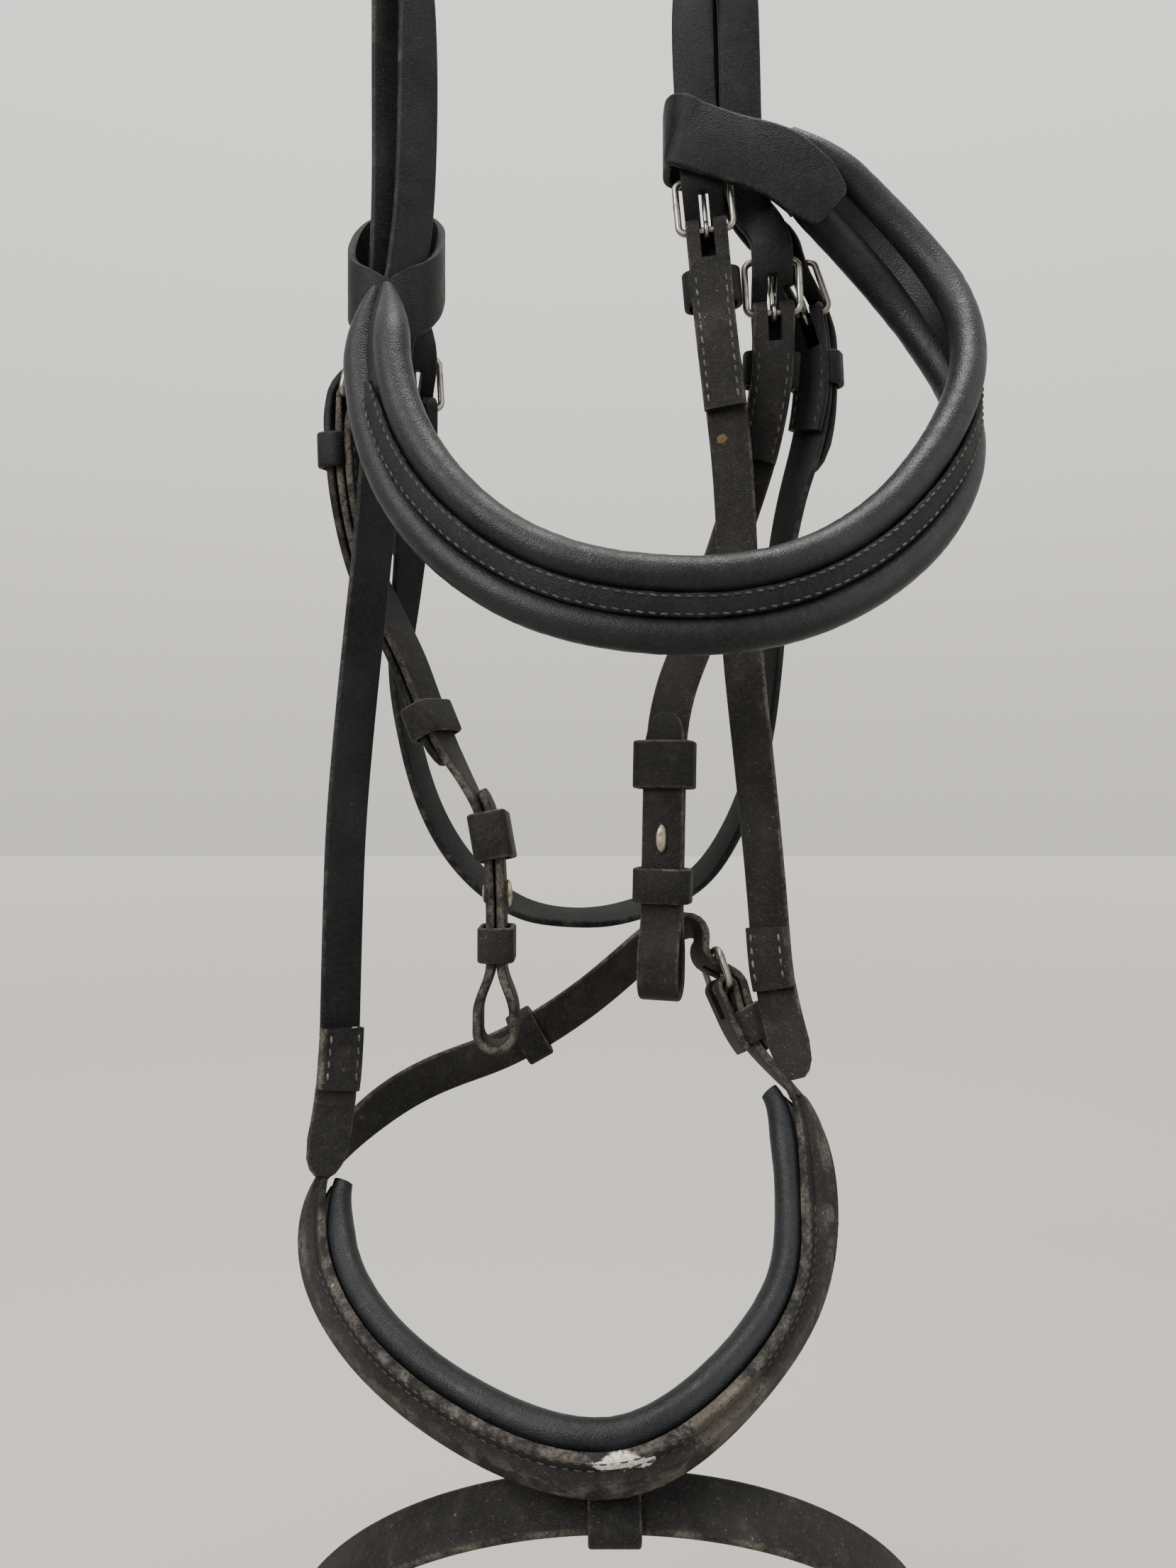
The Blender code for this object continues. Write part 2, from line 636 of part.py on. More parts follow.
BROWBAND_SHARES = [
    (-1.030, -1.78, 0.384, -28, 8), (-1.060, -2.60, 0.430, -50, 2), (-0.888, -3.75, 0.496, -38, -4),
    (-0.486, -5.00, 0.547, -18, -6), (0.016, -5.90, 0.578, -4, -8), (0.660, -6.25, 0.588, 0, -8),
    (1.250, -5.90, 0.582, 6, -6), (1.880, -4.60, 0.548, 16, 0), (2.340, -2.90, 0.490, 45, 4),
    (2.500, -1.20, 0.432, 88, 0), (2.310, 0.00, 0.374, 140, 0), (1.930, 0.10, 0.330, 166, 0),
    (1.640, -0.22, 0.305, 176, 0), (1.380, -0.30, 0.284, 178, 0)]


def knots_of(rows):
    return [place(row) for row in rows]


def make_spines():
    """All the lines that the straps follow."""
    slip_radius = CROWN_RADIUS + STRAP_THICKNESS / 2
    head_radius = slip_radius + STRAP_THICKNESS + SEAT_GAP
    half = STRAP_WIDTH / 2
    nose = knots_of(NOSE_NEAR_SHARES) + arch_rows(slip_radius, 0.0) + knots_of(NOSE_OFF_SHARES)
    cheek = knots_of(CHEEK_NEAR_SHARES) + arch_rows(head_radius, -half) + knots_of(CHEEK_OFF_SHARES)
    back_arch = list(reversed(arch_rows(head_radius, half - SEAT_GAP)))
    throat = knots_of(THROAT_SHARES_OFF_TOP) + back_arch + knots_of(THROAT_SHARES_AROUND)
    return {
        "nose": Spine(nose), "cheek": Spine(cheek), "throat": Spine(throat),
        "band": Spine(knots_of(BAND_SHARES)), "near_end": Spine(knots_of(NEAR_LOOP_END_SHARES)),
        "off_end": Spine(knots_of(OFF_LOOP_END_SHARES)), "brow": Spine(knots_of(BROWBAND_SHARES))}


# How far down the hanging length each buckle's bar and the off runner sit
NOSE_BAR_SHARE = 0.334
NEAR_CHEEK_BAR_SHARE = 0.380
OFF_CHEEK_BAR_SHARE = 0.434
NEAR_THROAT_BAR_SHARE = 0.373
OFF_THROAT_BAR_SHARE = 0.432
OFF_RUNNER_SHARE = 0.638
# Knots of the band route: sewn ends, chin buckle and chin runner
NEAR_SEWN_KNOT = 7
CHIN_BAR_KNOT = 10
CHIN_RUNNER_KNOT = 17
OFF_SEWN_KNOT = 23
NEAR_LOOP_SHARES = [
    (1.700, -0.98, 0.328), (1.580, -1.03, 0.318), (1.460, -1.04, 0.308), (1.360, -1.00, 0.300),
    (1.240, -0.94, 0.295), (1.100, -0.88, 0.291), (0.840, -0.86, 0.282), (0.752, -0.78, 0.278),
    (0.702, -0.42, 0.275), (0.695, 0.20, 0.274), (0.702, 0.85, 0.274), (0.752, 1.10, 0.274),
    (0.840, 1.17, 0.275), (1.200, 1.17, 0.276), (1.330, 1.12, 0.277), (1.420, 0.94, 0.279),
    (1.490, 0.72, 0.285), (1.560, 0.57, 0.294), (1.650, 0.54, 0.305)]
OFF_LOOP_CENTRE_SHARES = (-1.022, 0.58, 0.350)
OFF_LOOP_HALF_WIDTH = 0.0134
OFF_LOOP_HALF_DEPTH = 0.0152
OFF_LOOP_HEIGHT = 0.026
OFF_LOOP_SLOPE = 0.30
# How much lower than the sides the off loop's front is, at its top and its bottom edge
OFF_LOOP_NECK = 0.016
OFF_LOOP_CHIN = 0.006
FLASH_FRONT_SHARES = (0.33, -6.6, 1.0500)


def unzip(stations):
    """Stations that carry a share each, as a list of stations and a list of shares."""
    return [entry[0] for entry in stations], [entry[1] for entry in stations]


def drop_distance(spine, share, rising):
    return spine.nearest(-share * HANG_LENGTH, rising)


def headpiece(buckles, leather):
    """The crown: a cheek strap and a throat strap side by side, joined over the poll, with four billets."""
    near_cheek, off_cheek, near_throat, off_throat = buckles
    middle = near_cheek.spine.length / 2
    run = near_cheek.billet_stations(CHEEK_BILLET, middle, STRAP_WIDTH)
    run += list(reversed(off_cheek.billet_stations(FLEX_BELOW - FLEX_GAP, middle, STRAP_WIDTH, True)))[1:]
    places, wide = unzip(run)
    made = strap("headpiece", places, STRAP_WIDTH, STRAP_THICKNESS, leather, wide)
    middle = near_throat.spine.knot(9)
    run = near_throat.billet_stations(THROAT_BILLET, middle, THROAT_WIDTH)
    crown = near_throat.spine
    top = list(reversed(off_throat.billet_stations(THROAT_BILLET, crown.length, THROAT_WIDTH)))
    rise = [(crown.at(distance), 1.0) for distance in reversed(steps_between(CROWN_STEP, middle, CROWN_STEP))]
    places, wide = unzip(run + rise[1:] + top[1:])
    other = strap("headpiece_throat_half", places, STRAP_WIDTH, STRAP_THICKNESS, leather, wide)
    other.hide_render = True
    other.display_type = "WIRE"
    join = made.modifiers.new("join", "BOOLEAN")
    join.operation = "UNION"
    join.object = other
    for buckle, first, count in ((near_cheek, -3.6, 2), (off_cheek, -4.3, 3), (near_throat, -3.4, 2),
                                 (off_throat, -3.4, 2)):
        cut(made, [billet_slot(buckle)])
        cut(made, punched_holes(buckle, first, count))


def billet(name, buckle, tip_length, start, width, surface, holes):
    """A punched strap end that comes through the buckle."""
    stations, shares = unzip(buckle.billet_stations(tip_length, start, width))
    made = strap(name, stations, width, STRAP_THICKNESS, surface, shares)
    cut(made, [billet_slot(buckle)] + punched_holes(buckle, *holes))
    return made


def main_stations(buckle, end):
    """The strap's own layer from below the bar to end, finely stepped beside the fold."""
    below = buckle.bar - buckle.side * buckle.chape
    marks = steps_between(buckle.main_start(), below, STATION_STEP / 2)
    marks += steps_between(below, end)[1:]
    return [(buckle.spine.at(distance), 1.0) for distance in marks]


def chape_strap(buckle, end):
    """Stations from the chape's cut end round the bar and down the strap to end, with thickness shares."""
    return buckle.fold_stations() + main_stations(buckle, end)


def chape(name, buckle, leather):
    """The folded top of a strap, down to the line where the hanging strap bends."""
    end = buckle.bar - buckle.side * (FLEX_BELOW - FLEX_GAP)
    places, thick = unzip(chape_strap(buckle, end))
    made = strap(name, places, buckle.width, STRAP_THICKNESS, leather, None, thick)
    cut(made, [chape_slot(buckle)])


def buckle_set(prefix, buckle, steel, leather, low, high, drop=KEEPER_DROP):
    """The frame, tongue and fixed keeper of a buckle."""
    buckle_frame(prefix + "_buckle_frame", buckle, steel)
    buckle_tongue(prefix + "_buckle_tongue", buckle, steel)
    keeper(prefix + "_keeper", buckle.spine, buckle.bar - buckle.side * drop, buckle.width, low, high,
           KEEPER_HEIGHT, leather)


def bit_end(spine, start, rising, tab_share):
    """Stations of the tab and the bit loop, from the tab's tip to where the two layers part."""
    layer = STRAP_THICKNESS + SEAT_GAP
    centre = -layer / 2
    radius = layer / 2 + BIT_LOOP_BULGE
    bottom = radius + STRAP_THICKNESS / 2
    profile = ((0.15, 1.0), (0.40, 0.94), (0.62, 0.62), (0.82, 0.22), (1.0, 0.0))
    stations = []
    tip = tab_share * TAB_LENGTH
    top = bottom + BIT_LOOP_LENGTH * 1.15
    for up, wide in [(tip - back * STRAP_WIDTH, wide) for back, wide in TIP_SHARES]:
        stations.append((spine.at(start + rising * up, -layer), wide))
    for up in steps_between(tip - TIP_SHARES[-1][0] * STRAP_WIDTH, top)[1:]:
        stations.append((spine.at(start + rising * up, -layer), 1.0))
    for share, swell in reversed(profile):
        offset = centre - layer / 2 - BIT_LOOP_BULGE * swell
        stations.append((spine.at(start + rising * (bottom + share * BIT_LOOP_LENGTH), offset), 1.0))
    point, along, across, outward = spine.frame(start + rising * bottom)
    middle = point + outward * centre
    for k in range(9):
        angle = math.pi * k / 8
        turned = middle - outward * radius * math.cos(angle) - along * rising * radius * math.sin(angle)
        stations.append(((turned, across), 1.0))
    for share, swell in profile:
        offset = BIT_LOOP_BULGE * swell
        stations.append((spine.at(start + rising * (bottom + share * BIT_LOOP_LENGTH), offset), 1.0))
    return stations, bottom + BIT_LOOP_LENGTH


def cheekpiece(prefix, spine, buckle, start, rising, ends, leather, steel, brass):
    """The strap from the tab over the bit loop up to the chape, with its stud and keepers."""
    tab, runner, stud, fixed = ends
    stations, top = bit_end(spine, start, rising, tab)
    first = start + rising * (top + STRAP_WIDTH / 2)
    flex = buckle.bar - buckle.side * (FLEX_BELOW + FLEX_GAP)
    stations += [(spine.at(distance), 1.0) for distance in steps_between(first, flex)]
    places, wide = unzip(stations)
    made = strap(prefix + "_cheekpiece", places, STRAP_WIDTH, STRAP_THICKNESS, leather, wide)
    chape(prefix + "_cheek_chape", buckle, leather)
    layer = STRAP_THICKNESS + SEAT_GAP
    point, along, across, outward = spine.frame(start + rising * stud * TAB_LENGTH)
    middle = point - outward * layer / 2
    hole = round_prism(middle, along, across, outward, STUD_STEM_RADIUS + RUNNING_GAP, layer * 1.5, 10)
    cut(made, [hole])
    reach = layer / 2 + STRAP_THICKNESS / 2 + RUNNING_GAP
    head = STUD_HEAD_THICKNESS
    outline = ((-reach - head, 0.45), (-reach - head * 0.8, 0.82), (-reach - head * 0.3, 1.0), (-reach, 0.92),
               (reach, 0.92), (reach + head * 0.3, 1.0), (reach + head * 0.6, 0.8), (reach + head * 0.7, 0.45))
    rings = []
    for k, (depth, share) in enumerate(outline):
        rings.append(round_ring(middle + outward * depth, across, along, STUD_HEAD_RADIUS * share, 14))
        if k in (3,):
            rings.append(round_ring(middle + outward * depth, across, along, STUD_STEM_RADIUS, 14))
            rings.append(round_ring(middle - outward * depth, across, along, STUD_STEM_RADIUS, 14))
    sweep(prefix + "_hook_stud", rings, brass)
    low = -layer - STRAP_THICKNESS / 2
    high = STRAP_THICKNESS / 2
    keeper(prefix + "_bit_runner", spine, start + rising * runner * TAB_LENGTH, STRAP_WIDTH, low, high,
           RUNNER_HEIGHT, leather, 1.5 * KEEPER_GAP)
    keeper(prefix + "_bit_keeper", spine, start + rising * fixed * TAB_LENGTH, STRAP_WIDTH, low, high,
           KEEPER_HEIGHT, leather)
    return made


def roll_section(half_spacing, radius, web_half, sides=8):
    """A section of two rolls joined by a web, width first."""
    opening = math.asin(web_half / radius)
    made = []
    for centre, first in ((half_spacing, -math.pi + opening), (-half_spacing, opening)):
        span = 2 * (math.pi - opening)
        for k in range(sides + 1):
            angle = first + span * k / sides
            made.append((centre + radius * math.cos(angle), radius * math.sin(angle)))
    return made


def padded(name, stations, section, offset, surface, wide, thick):
    """A stuffed piece with its own section along stations, narrowing at its ends by the shares."""
    rings = []
    for i, (centre, across, outward) in enumerate(station_frames(stations)):
        rings.append([centre + across * (a * wide[i]) + outward * (offset + b * thick[i]) for a, b in section])
    return sweep(name, rings, surface)


def end_shares(count, least, spread):
    """Shares that grow from least to one over the first stations and fall again at the last."""
    made = []
    for i in range(count):
        near_end = min(i, count - 1 - i) / spread
        made.append(least + (1 - least) * math.sin(min(near_end, 1) * math.pi / 2))
    return made


def sewn_end(name, spine, leather):
    """A strap end folded back and sewn double, its long outer layer lying over the noseband strap."""
    layer = STRAP_THICKNESS + SEAT_GAP
    double = 1 + layer / STRAP_THICKNESS
    stations = []
    for distance in steps_between(0.0, SEWN_FOLD_LENGTH):
        stations.append((spine.at(distance, -layer / 2), 1.0, double))
    clear = spine.length - TIP_SHARES[-1][0] * STRAP_WIDTH
    for distance in steps_between(SEWN_FOLD_LENGTH + CORNER_EASE, clear)[:-1]:
        stations.append((spine.at(distance), 1.0, 1.0))
    for back, wide in reversed(TIP_SHARES):
        stations.append((spine.at(spine.length - back * STRAP_WIDTH), wide, 1.0))
    places = [entry[0] for entry in stations]
    strap(name, places, STRAP_WIDTH, STRAP_THICKNESS, leather, [entry[1] for entry in stations],
          [entry[2] for entry in stations])


def necked_loop(name, centre, leather):
    """The off loop: an oval of leather round the straps whose front dips to the browband's end."""
    rings = []
    turns = 28
    for k in range(turns):
        angle = 2 * math.pi * k / turns
        a = math.copysign(abs(math.cos(angle)) ** 0.55, math.cos(angle))
        b = math.copysign(abs(math.sin(angle)) ** 0.55, math.sin(angle))
        front = min(max((-b - 0.25) / 0.6, 0), 1) * (1 - abs(a)) ** 0.8
        ring = []
        for wall, side in ((0.0, -0.5), (LOOP_WALL, -0.5), (LOOP_WALL, 0.5), (0.0, 0.5)):
            wide = OFF_LOOP_HALF_WIDTH + wall
            deep = OFF_LOOP_HALF_DEPTH + wall
            dip = OFF_LOOP_CHIN if side < 0 else OFF_LOOP_NECK
            rise = OFF_LOOP_HEIGHT * side + OFF_LOOP_SLOPE * b * OFF_LOOP_HALF_DEPTH - dip * front
            ring.append(centre + Vector((wide * a, deep * b, rise)))
        rings.append(ring)
    return sweep(name, rings, leather, True)


def browband(lines, leather, soft):
    """The padded browband, its raised strip and the two loops."""
    brow = lines["brow"]
    spacing = BROWBAND_WIDTH / 2 - BROWBAND_ROLL_RADIUS
    section = roll_section(spacing, BROWBAND_ROLL_RADIUS, BROWBAND_WEB / 2, 7)
    marks = steps_between(0.0, brow.length, STATION_STEP * 0.8)
    run = [brow.at(d) for d in marks]
    count = len(run)
    padded("browband_padding", run, section, 0.0, soft, end_shares(count, 0.6, 3), end_shares(count, 0.7, 3))
    lift = BROWBAND_WEB / 2 + 2 * SEAT_GAP + BROWBAND_STRIP_THICKNESS / 2
    inset = BROWBAND_WIDTH * 1.3
    strip = [brow.at(d, lift) for d in marks if inset < d < brow.length - inset]
    strap("browband_strip", strip, BROWBAND_STRIP_WIDTH, BROWBAND_STRIP_THICKNESS, leather,
          end_shares(len(strip), 0.3, 2))
    up = Vector((0, 0, 1))
    loop_points = [place((*row, 0))[0] for row in NEAR_LOOP_SHARES]
    loop = Spine([(point, facing(0)) for point in loop_points])
    stations = [(loop.blend(d)[0], up) for d in steps_between(0.0, loop.length, FINE_STEP)]
    strap("near_browband_loop", stations, LOOP_HEIGHT, LOOP_WALL, leather,
          [0.55, 0.8, 0.95] + [1.0] * (len(stations) - 3))
    necked_loop("off_browband_loop", place((*OFF_LOOP_CENTRE_SHARES, 0))[0], leather)


def noseband(lines, leather, soft, steel):
    """The padded nosepiece, the chin strap with its buckle and the flash loop."""
    ring = lines["band"]
    near = ring.knot(NEAR_SEWN_KNOT)
    off = ring.knot(OFF_SEWN_KNOT)
    run = steps_between(off + FLEX_GAP, ring.length, STATION_STEP)[:-1]
    run += steps_between(0.0, near - FLEX_GAP, STATION_STEP)
    stations = [ring.at(d) for d in run]
    half = NOSE_WIDTH / 2
    deep = NOSE_THICKNESS / 2
    top = deep + NOSE_RAISE
    section = [(-half, -deep * 0.6), (-half * 0.95, -deep), (half * 0.95, -deep), (half, -deep * 0.6),
               (half, deep * 0.4), (half * 0.9, deep * 0.8), (half * 0.55, deep), (half * 0.4, top),
               (-half * 0.4, top), (-half * 0.55, deep), (-half * 0.9, deep * 0.8), (-half, deep * 0.4)]
    count = len(stations)
    narrow = STRAP_WIDTH / NOSE_WIDTH
    wide = end_shares(count, narrow, 4)
    thick = end_shares(count, 0.55, 4)
    padded("nosepiece_leather", stations, section, 0.0, leather, wide, thick)
    radius = NOSE_PAD_THICKNESS / 2
    pad_section = roll_section(NOSE_PAD_WIDTH / 2 - radius, radius, radius * 0.8)
    pad_run = steps_between(off + NOSE_PAD_START, ring.length, STATION_STEP)[:-1]
    pad_run += steps_between(0.0, near - NOSE_PAD_START, STATION_STEP)
    pad_stations = [ring.at(d) for d in pad_run]
    count = len(pad_stations)
    sunk = -(deep + SEAT_GAP + radius)
    padded("nosepiece_padding", pad_stations, pad_section, sunk, soft, end_shares(count, 0.6, 2),
           end_shares(count, 0.7, 2))
    sewn_end("near_noseband_loop_end", lines["near_end"], leather)
    sewn_end("off_noseband_loop_end", lines["off_end"], leather)
    layer = STRAP_THICKNESS + SEAT_GAP
    high = layer + STRAP_THICKNESS / 2
    bar = ring.knot(CHIN_BAR_KNOT) + CHIN_BUCKLE_LENGTH / 3
    buckle = Buckle(ring, bar, 1, STRAP_WIDTH, CHIN_CHAPE_LENGTH, CHIN_BUCKLE_LENGTH)
    places, thick = unzip(chape_strap(buckle, near + 8 * FLEX_GAP))
    made = strap("near_chin_strap", places, STRAP_WIDTH, STRAP_THICKNESS, leather, None, thick)
    cut(made, [chape_slot(buckle)])
    buckle_set("chin", buckle, steel, leather, -high, high, KEEPER_DROP * 0.8)
    billet("off_chin_strap", buckle, CHIN_BILLET, off - 5 * FLEX_GAP, STRAP_WIDTH, leather, (3.2, 4))
    keeper("chin_runner", ring, ring.knot(CHIN_RUNNER_KNOT), STRAP_WIDTH, -STRAP_THICKNESS / 2,
           STRAP_THICKNESS / 2, RUNNER_HEIGHT * 0.6, leather)


def flash(leather, steel):
    """The flash strap: a hoop through the flash loop, buckled far below."""
    front = place((*FLASH_FRONT_SHARES, 0))[0]
    droop = math.radians(FLASH_DROOP_DEGREES)
    down = Vector((0, math.cos(droop), -math.sin(droop)))
    middle = front + down * FLASH_RADIUS
    side = Vector((1, 0, 0))
    knots = []
    for k in range(-6, 44):
        turn = math.radians(180 + 10 * k)
        outward = side * math.sin(turn) - down * math.cos(turn)
        knots.append((middle + outward * FLASH_RADIUS, outward))
    hoop = Spine(knots)
    bar = hoop.knot(6)
    once = hoop.knot(42) - bar
    buckle = Buckle(hoop, bar, -1, FLASH_WIDTH, CHIN_CHAPE_LENGTH)
    start = bar - 2.6 * BUCKLE_LENGTH
    stations, thick = unzip(chape_strap(buckle, start + once))
    wide = [1.0] * len(stations)
    ends, end_wide = unzip(list(reversed(buckle.billet_stations(FLASH_BILLET, start, FLASH_WIDTH))))
    stations += ends[1:]
    wide += end_wide[1:]
    thick += [1.0] * (len(ends) - 1)
    made = strap("flash_strap", stations, FLASH_WIDTH, STRAP_THICKNESS, leather, wide, thick)
    cut(made, [chape_slot(buckle)] + punched_holes(buckle, -4, 2) + punched_holes(buckle, 3, 4))
    cut(made, [billet_slot(buckle)])
    high = STRAP_THICKNESS + SEAT_GAP + STRAP_THICKNESS / 2
    buckle_set("flash", buckle, steel, leather, -high, high)
    point, along, across, outward = hoop.frame(hoop.knot(24))
    band("flash_loop", point, along, across, outward, FLASH_WIDTH + 3 * KEEPER_GAP,
         STRAP_THICKNESS + 2 * KEEPER_GAP, KEEPER_WALL, FLASH_LOOP_WIDTH, leather)


def main():
    clear_scene()
    leather = material("black_leather", (0.018, 0.019, 0.021), 0.62)
    soft = material("soft_black_leather", (0.022, 0.024, 0.027), 0.48)
    steel = material("nickel", (0.62, 0.61, 0.58), 0.28, 1.0)
    brass = material("worn_brass", (0.45, 0.36, 0.20), 0.35, 1.0)
    lines = make_spines()
    nose = lines["nose"]
    cheek = lines["cheek"]
    throat = lines["throat"]
    layer = STRAP_THICKNESS + SEAT_GAP
    high = layer + STRAP_THICKNESS / 2

    bar = drop_distance(cheek, NEAR_CHEEK_BAR_SHARE, True)
    near_cheek = Buckle(cheek, bar, 1, STRAP_WIDTH, CHAPE_LENGTH)
    bar = drop_distance(cheek, OFF_CHEEK_BAR_SHARE, False)
    off_cheek = Buckle(cheek, bar, -1, STRAP_WIDTH, CHAPE_LENGTH)
    bar = drop_distance(throat, NEAR_THROAT_BAR_SHARE, True)
    near_throat = Buckle(throat, bar, -1, THROAT_WIDTH, THROAT_CHAPE_LENGTH)
    bar = drop_distance(throat, OFF_THROAT_BAR_SHARE, False)
    off_throat = Buckle(throat, bar, 1, THROAT_WIDTH, THROAT_CHAPE_LENGTH)
    headpiece((near_cheek, off_cheek, near_throat, off_throat), leather)

    buckle = Buckle(nose, drop_distance(nose, NOSE_BAR_SHARE, True), 1, STRAP_WIDTH, NOSE_CHAPE_LENGTH)
    billet("noseband_headstrap", buckle, NOSE_BILLET, nose.length, STRAP_WIDTH, leather, (-4, 3))
    places, thick = unzip(chape_strap(buckle, 0.0))
    made = strap("near_noseband_cheek", places, STRAP_WIDTH, STRAP_THICKNESS, leather, None, thick)
    cut(made, [chape_slot(buckle)])
    buckle_set("noseband", buckle, steel, leather, -high, high)

    cheekpiece("near", cheek, near_cheek, 0.0, 1, NEAR_BIT_END_SHARES, leather, steel, brass)
    buckle_set("near_cheek", near_cheek, steel, leather, -high, high)
    cheekpiece("off", cheek, off_cheek, cheek.length, -1, OFF_BIT_END_SHARES, leather, steel, brass)
    buckle_set("off_cheek", off_cheek, steel, leather, -high, high)
    places, wide = unzip(off_cheek.tip_stations(OFF_CHEEK_BILLET, FLEX_BELOW + FLEX_GAP, STRAP_WIDTH))
    made = strap("off_cheek_billet_end", places, STRAP_WIDTH, STRAP_THICKNESS, leather, wide)
    cut(made, punched_holes(off_cheek, -8.6, 4))
    keeper("off_cheek_runner", cheek, drop_distance(cheek, OFF_RUNNER_SHARE, False), STRAP_WIDTH,
           -STRAP_THICKNESS / 2, high, KEEPER_HEIGHT, leather)

    near_end = near_throat.bar + FLEX_BELOW + FLEX_GAP
    off_end = off_throat.bar - FLEX_BELOW - FLEX_GAP
    places = [throat.at(distance) for distance in steps_between(near_end, off_end)]
    strap("throatlash", places, THROAT_WIDTH, STRAP_THICKNESS, leather)
    for prefix, buckle in (("near_throat", near_throat), ("off_throat", off_throat)):
        chape(prefix + "_chape", buckle, leather)
        buckle_set(prefix, buckle, steel, leather, -high, high)

    browband(lines, leather, soft)
    noseband(lines, leather, soft, steel)
    flash(leather, steel)


main()
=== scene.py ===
"""The look of a dressage bridle that hangs by its headpiece: leather, stitching, padding, buckles."""
import bisect
import json
import math

import bmesh
import bpy
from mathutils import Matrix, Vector, noise


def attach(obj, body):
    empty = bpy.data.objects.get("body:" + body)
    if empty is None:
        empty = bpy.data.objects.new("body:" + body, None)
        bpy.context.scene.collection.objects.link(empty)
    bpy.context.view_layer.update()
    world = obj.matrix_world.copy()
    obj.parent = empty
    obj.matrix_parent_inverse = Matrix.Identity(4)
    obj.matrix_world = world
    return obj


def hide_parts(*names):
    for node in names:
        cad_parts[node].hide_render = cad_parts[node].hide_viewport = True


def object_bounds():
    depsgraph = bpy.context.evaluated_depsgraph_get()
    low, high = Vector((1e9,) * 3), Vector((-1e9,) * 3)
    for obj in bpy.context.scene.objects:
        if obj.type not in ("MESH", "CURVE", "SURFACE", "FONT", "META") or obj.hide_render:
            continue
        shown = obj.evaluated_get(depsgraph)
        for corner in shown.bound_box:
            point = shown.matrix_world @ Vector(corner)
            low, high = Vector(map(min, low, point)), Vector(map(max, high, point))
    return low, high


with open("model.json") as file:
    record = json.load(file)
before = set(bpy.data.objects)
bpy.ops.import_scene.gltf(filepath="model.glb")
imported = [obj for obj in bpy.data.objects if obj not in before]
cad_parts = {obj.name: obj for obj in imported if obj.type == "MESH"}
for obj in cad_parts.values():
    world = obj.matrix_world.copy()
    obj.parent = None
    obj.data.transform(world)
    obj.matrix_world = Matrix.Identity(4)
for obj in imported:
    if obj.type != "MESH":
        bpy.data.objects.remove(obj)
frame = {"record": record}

cad_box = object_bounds()

# Overall places: shares in the route tables are multiplied by these three
HALF_SPREAD = 0.050
LAYER_DEPTH = 0.010
HANG_LENGTH = 0.500

# Crown
CROWN_RADIUS = 0.046

# Straps
STRAP_WIDTH = 0.013
STRAP_THICKNESS = 0.0028
THROAT_WIDTH = 0.012
FLASH_WIDTH = 0.016
SKIVED_SHARE = 0.72
CORNER_EASE = 0.0006
SEAT_GAP = 0.0005
STATION_STEP = 0.0026
FINE_STEP = 0.0014
KNOT_STEPS = 20
EDGE_ROUND = 0.0010
SMOOTH_PASSES = 40
WIDE_SMOOTH_PASSES = 160
SECTION_TURNS = 4
SMOOTH_DEGREES = 38.0
# Stations in one unit of an end's taper
FINER = 3.85

# Stitching: pitch, length and radius, and a stitch's own shape as share of length, swell and lift
STITCHES = (0.0034, 0.0025, 0.00036)
BROW_STITCHES = (0.0030, 0.0022, 0.00032)
NOSE_STITCHES = (0.0031, 0.0023, 0.00034)
STITCH_SHAPE = ((-0.5, 0.25, -0.9), (-0.38, 0.8, -0.1), (-0.12, 1.0, 0.12), (0.12, 1.0, 0.12),
                (0.38, 0.8, -0.1), (0.5, 0.25, -0.9))
STITCH_SWAY = 0.00012

# Buckles
WIRE_RADIUS = 0.0011
TONGUE_RADIUS = 0.0008
BUCKLE_LENGTH = 0.016
CHIN_BUCKLE_LENGTH = 0.012
BUCKLE_SIDE_GAP = 0.0010
FRAME_CORNER = WIRE_RADIUS * 2.2
# Degrees that a tongue curls round its bar, and its points ahead in shares of the buckle's length
CURL_START = -200
CURL_END = 90
TONGUE_SHARES = (0.35, 0.7, 1.0, 1.13)
TONGUE_SLOT_WIDTH = 0.0044
BILLET_SLOT_WIDTH = 0.0030
CHAPE_LENGTH = 0.046
NOSE_CHAPE_LENGTH = 0.056
THROAT_CHAPE_LENGTH = 0.038
CHIN_CHAPE_LENGTH = 0.020
RUNNING_GAP = 0.00025

# Billets and their punched holes: pitches from the bar to the first hole, and how many
HOLE_RADIUS = 0.0013
HOLE_PITCH = 0.012
NOSE_HOLES = (-4, 3)
NEAR_CHEEK_HOLES = (-3.6, 2)
OFF_CHEEK_HOLES = (-4.3, 3)
OFF_CHEEK_END_HOLES = (-8.6, 4)
THROAT_HOLES = (-3.4, 2)
FLASH_TIP_HOLES = (-4, 2)
FLASH_HOLES = (3, 4)
NOSE_BILLET = 0.056
CHEEK_BILLET = 0.051
OFF_CHEEK_BILLET = 0.122
THROAT_BILLET = 0.050
CHIN_BILLET = 0.024
FLASH_BILLET = 0.062

# Keepers
KEEPER_WALL = 0.0018
KEEPER_CORNER = 0.0020
RIM_SHARE = 0.42
KEEPER_HEIGHT = 0.011
RUNNER_HEIGHT = 0.015
KEEPER_GAP = 0.0009
KEEPER_DROP = 0.0170

# Bit ends of the cheekpieces
TAB_LENGTH = 0.084
BIT_LOOP_LENGTH = 0.021
BIT_LOOP_BULGE = 0.0040
STUD_HEAD_RADIUS = 0.0030
STUD_STEM_RADIUS = 0.0013
STUD_HEAD_THICKNESS = 0.0016
STUD_HEAD_LONG = 0.0044
STUD_HEAD_SLIM = 0.0017
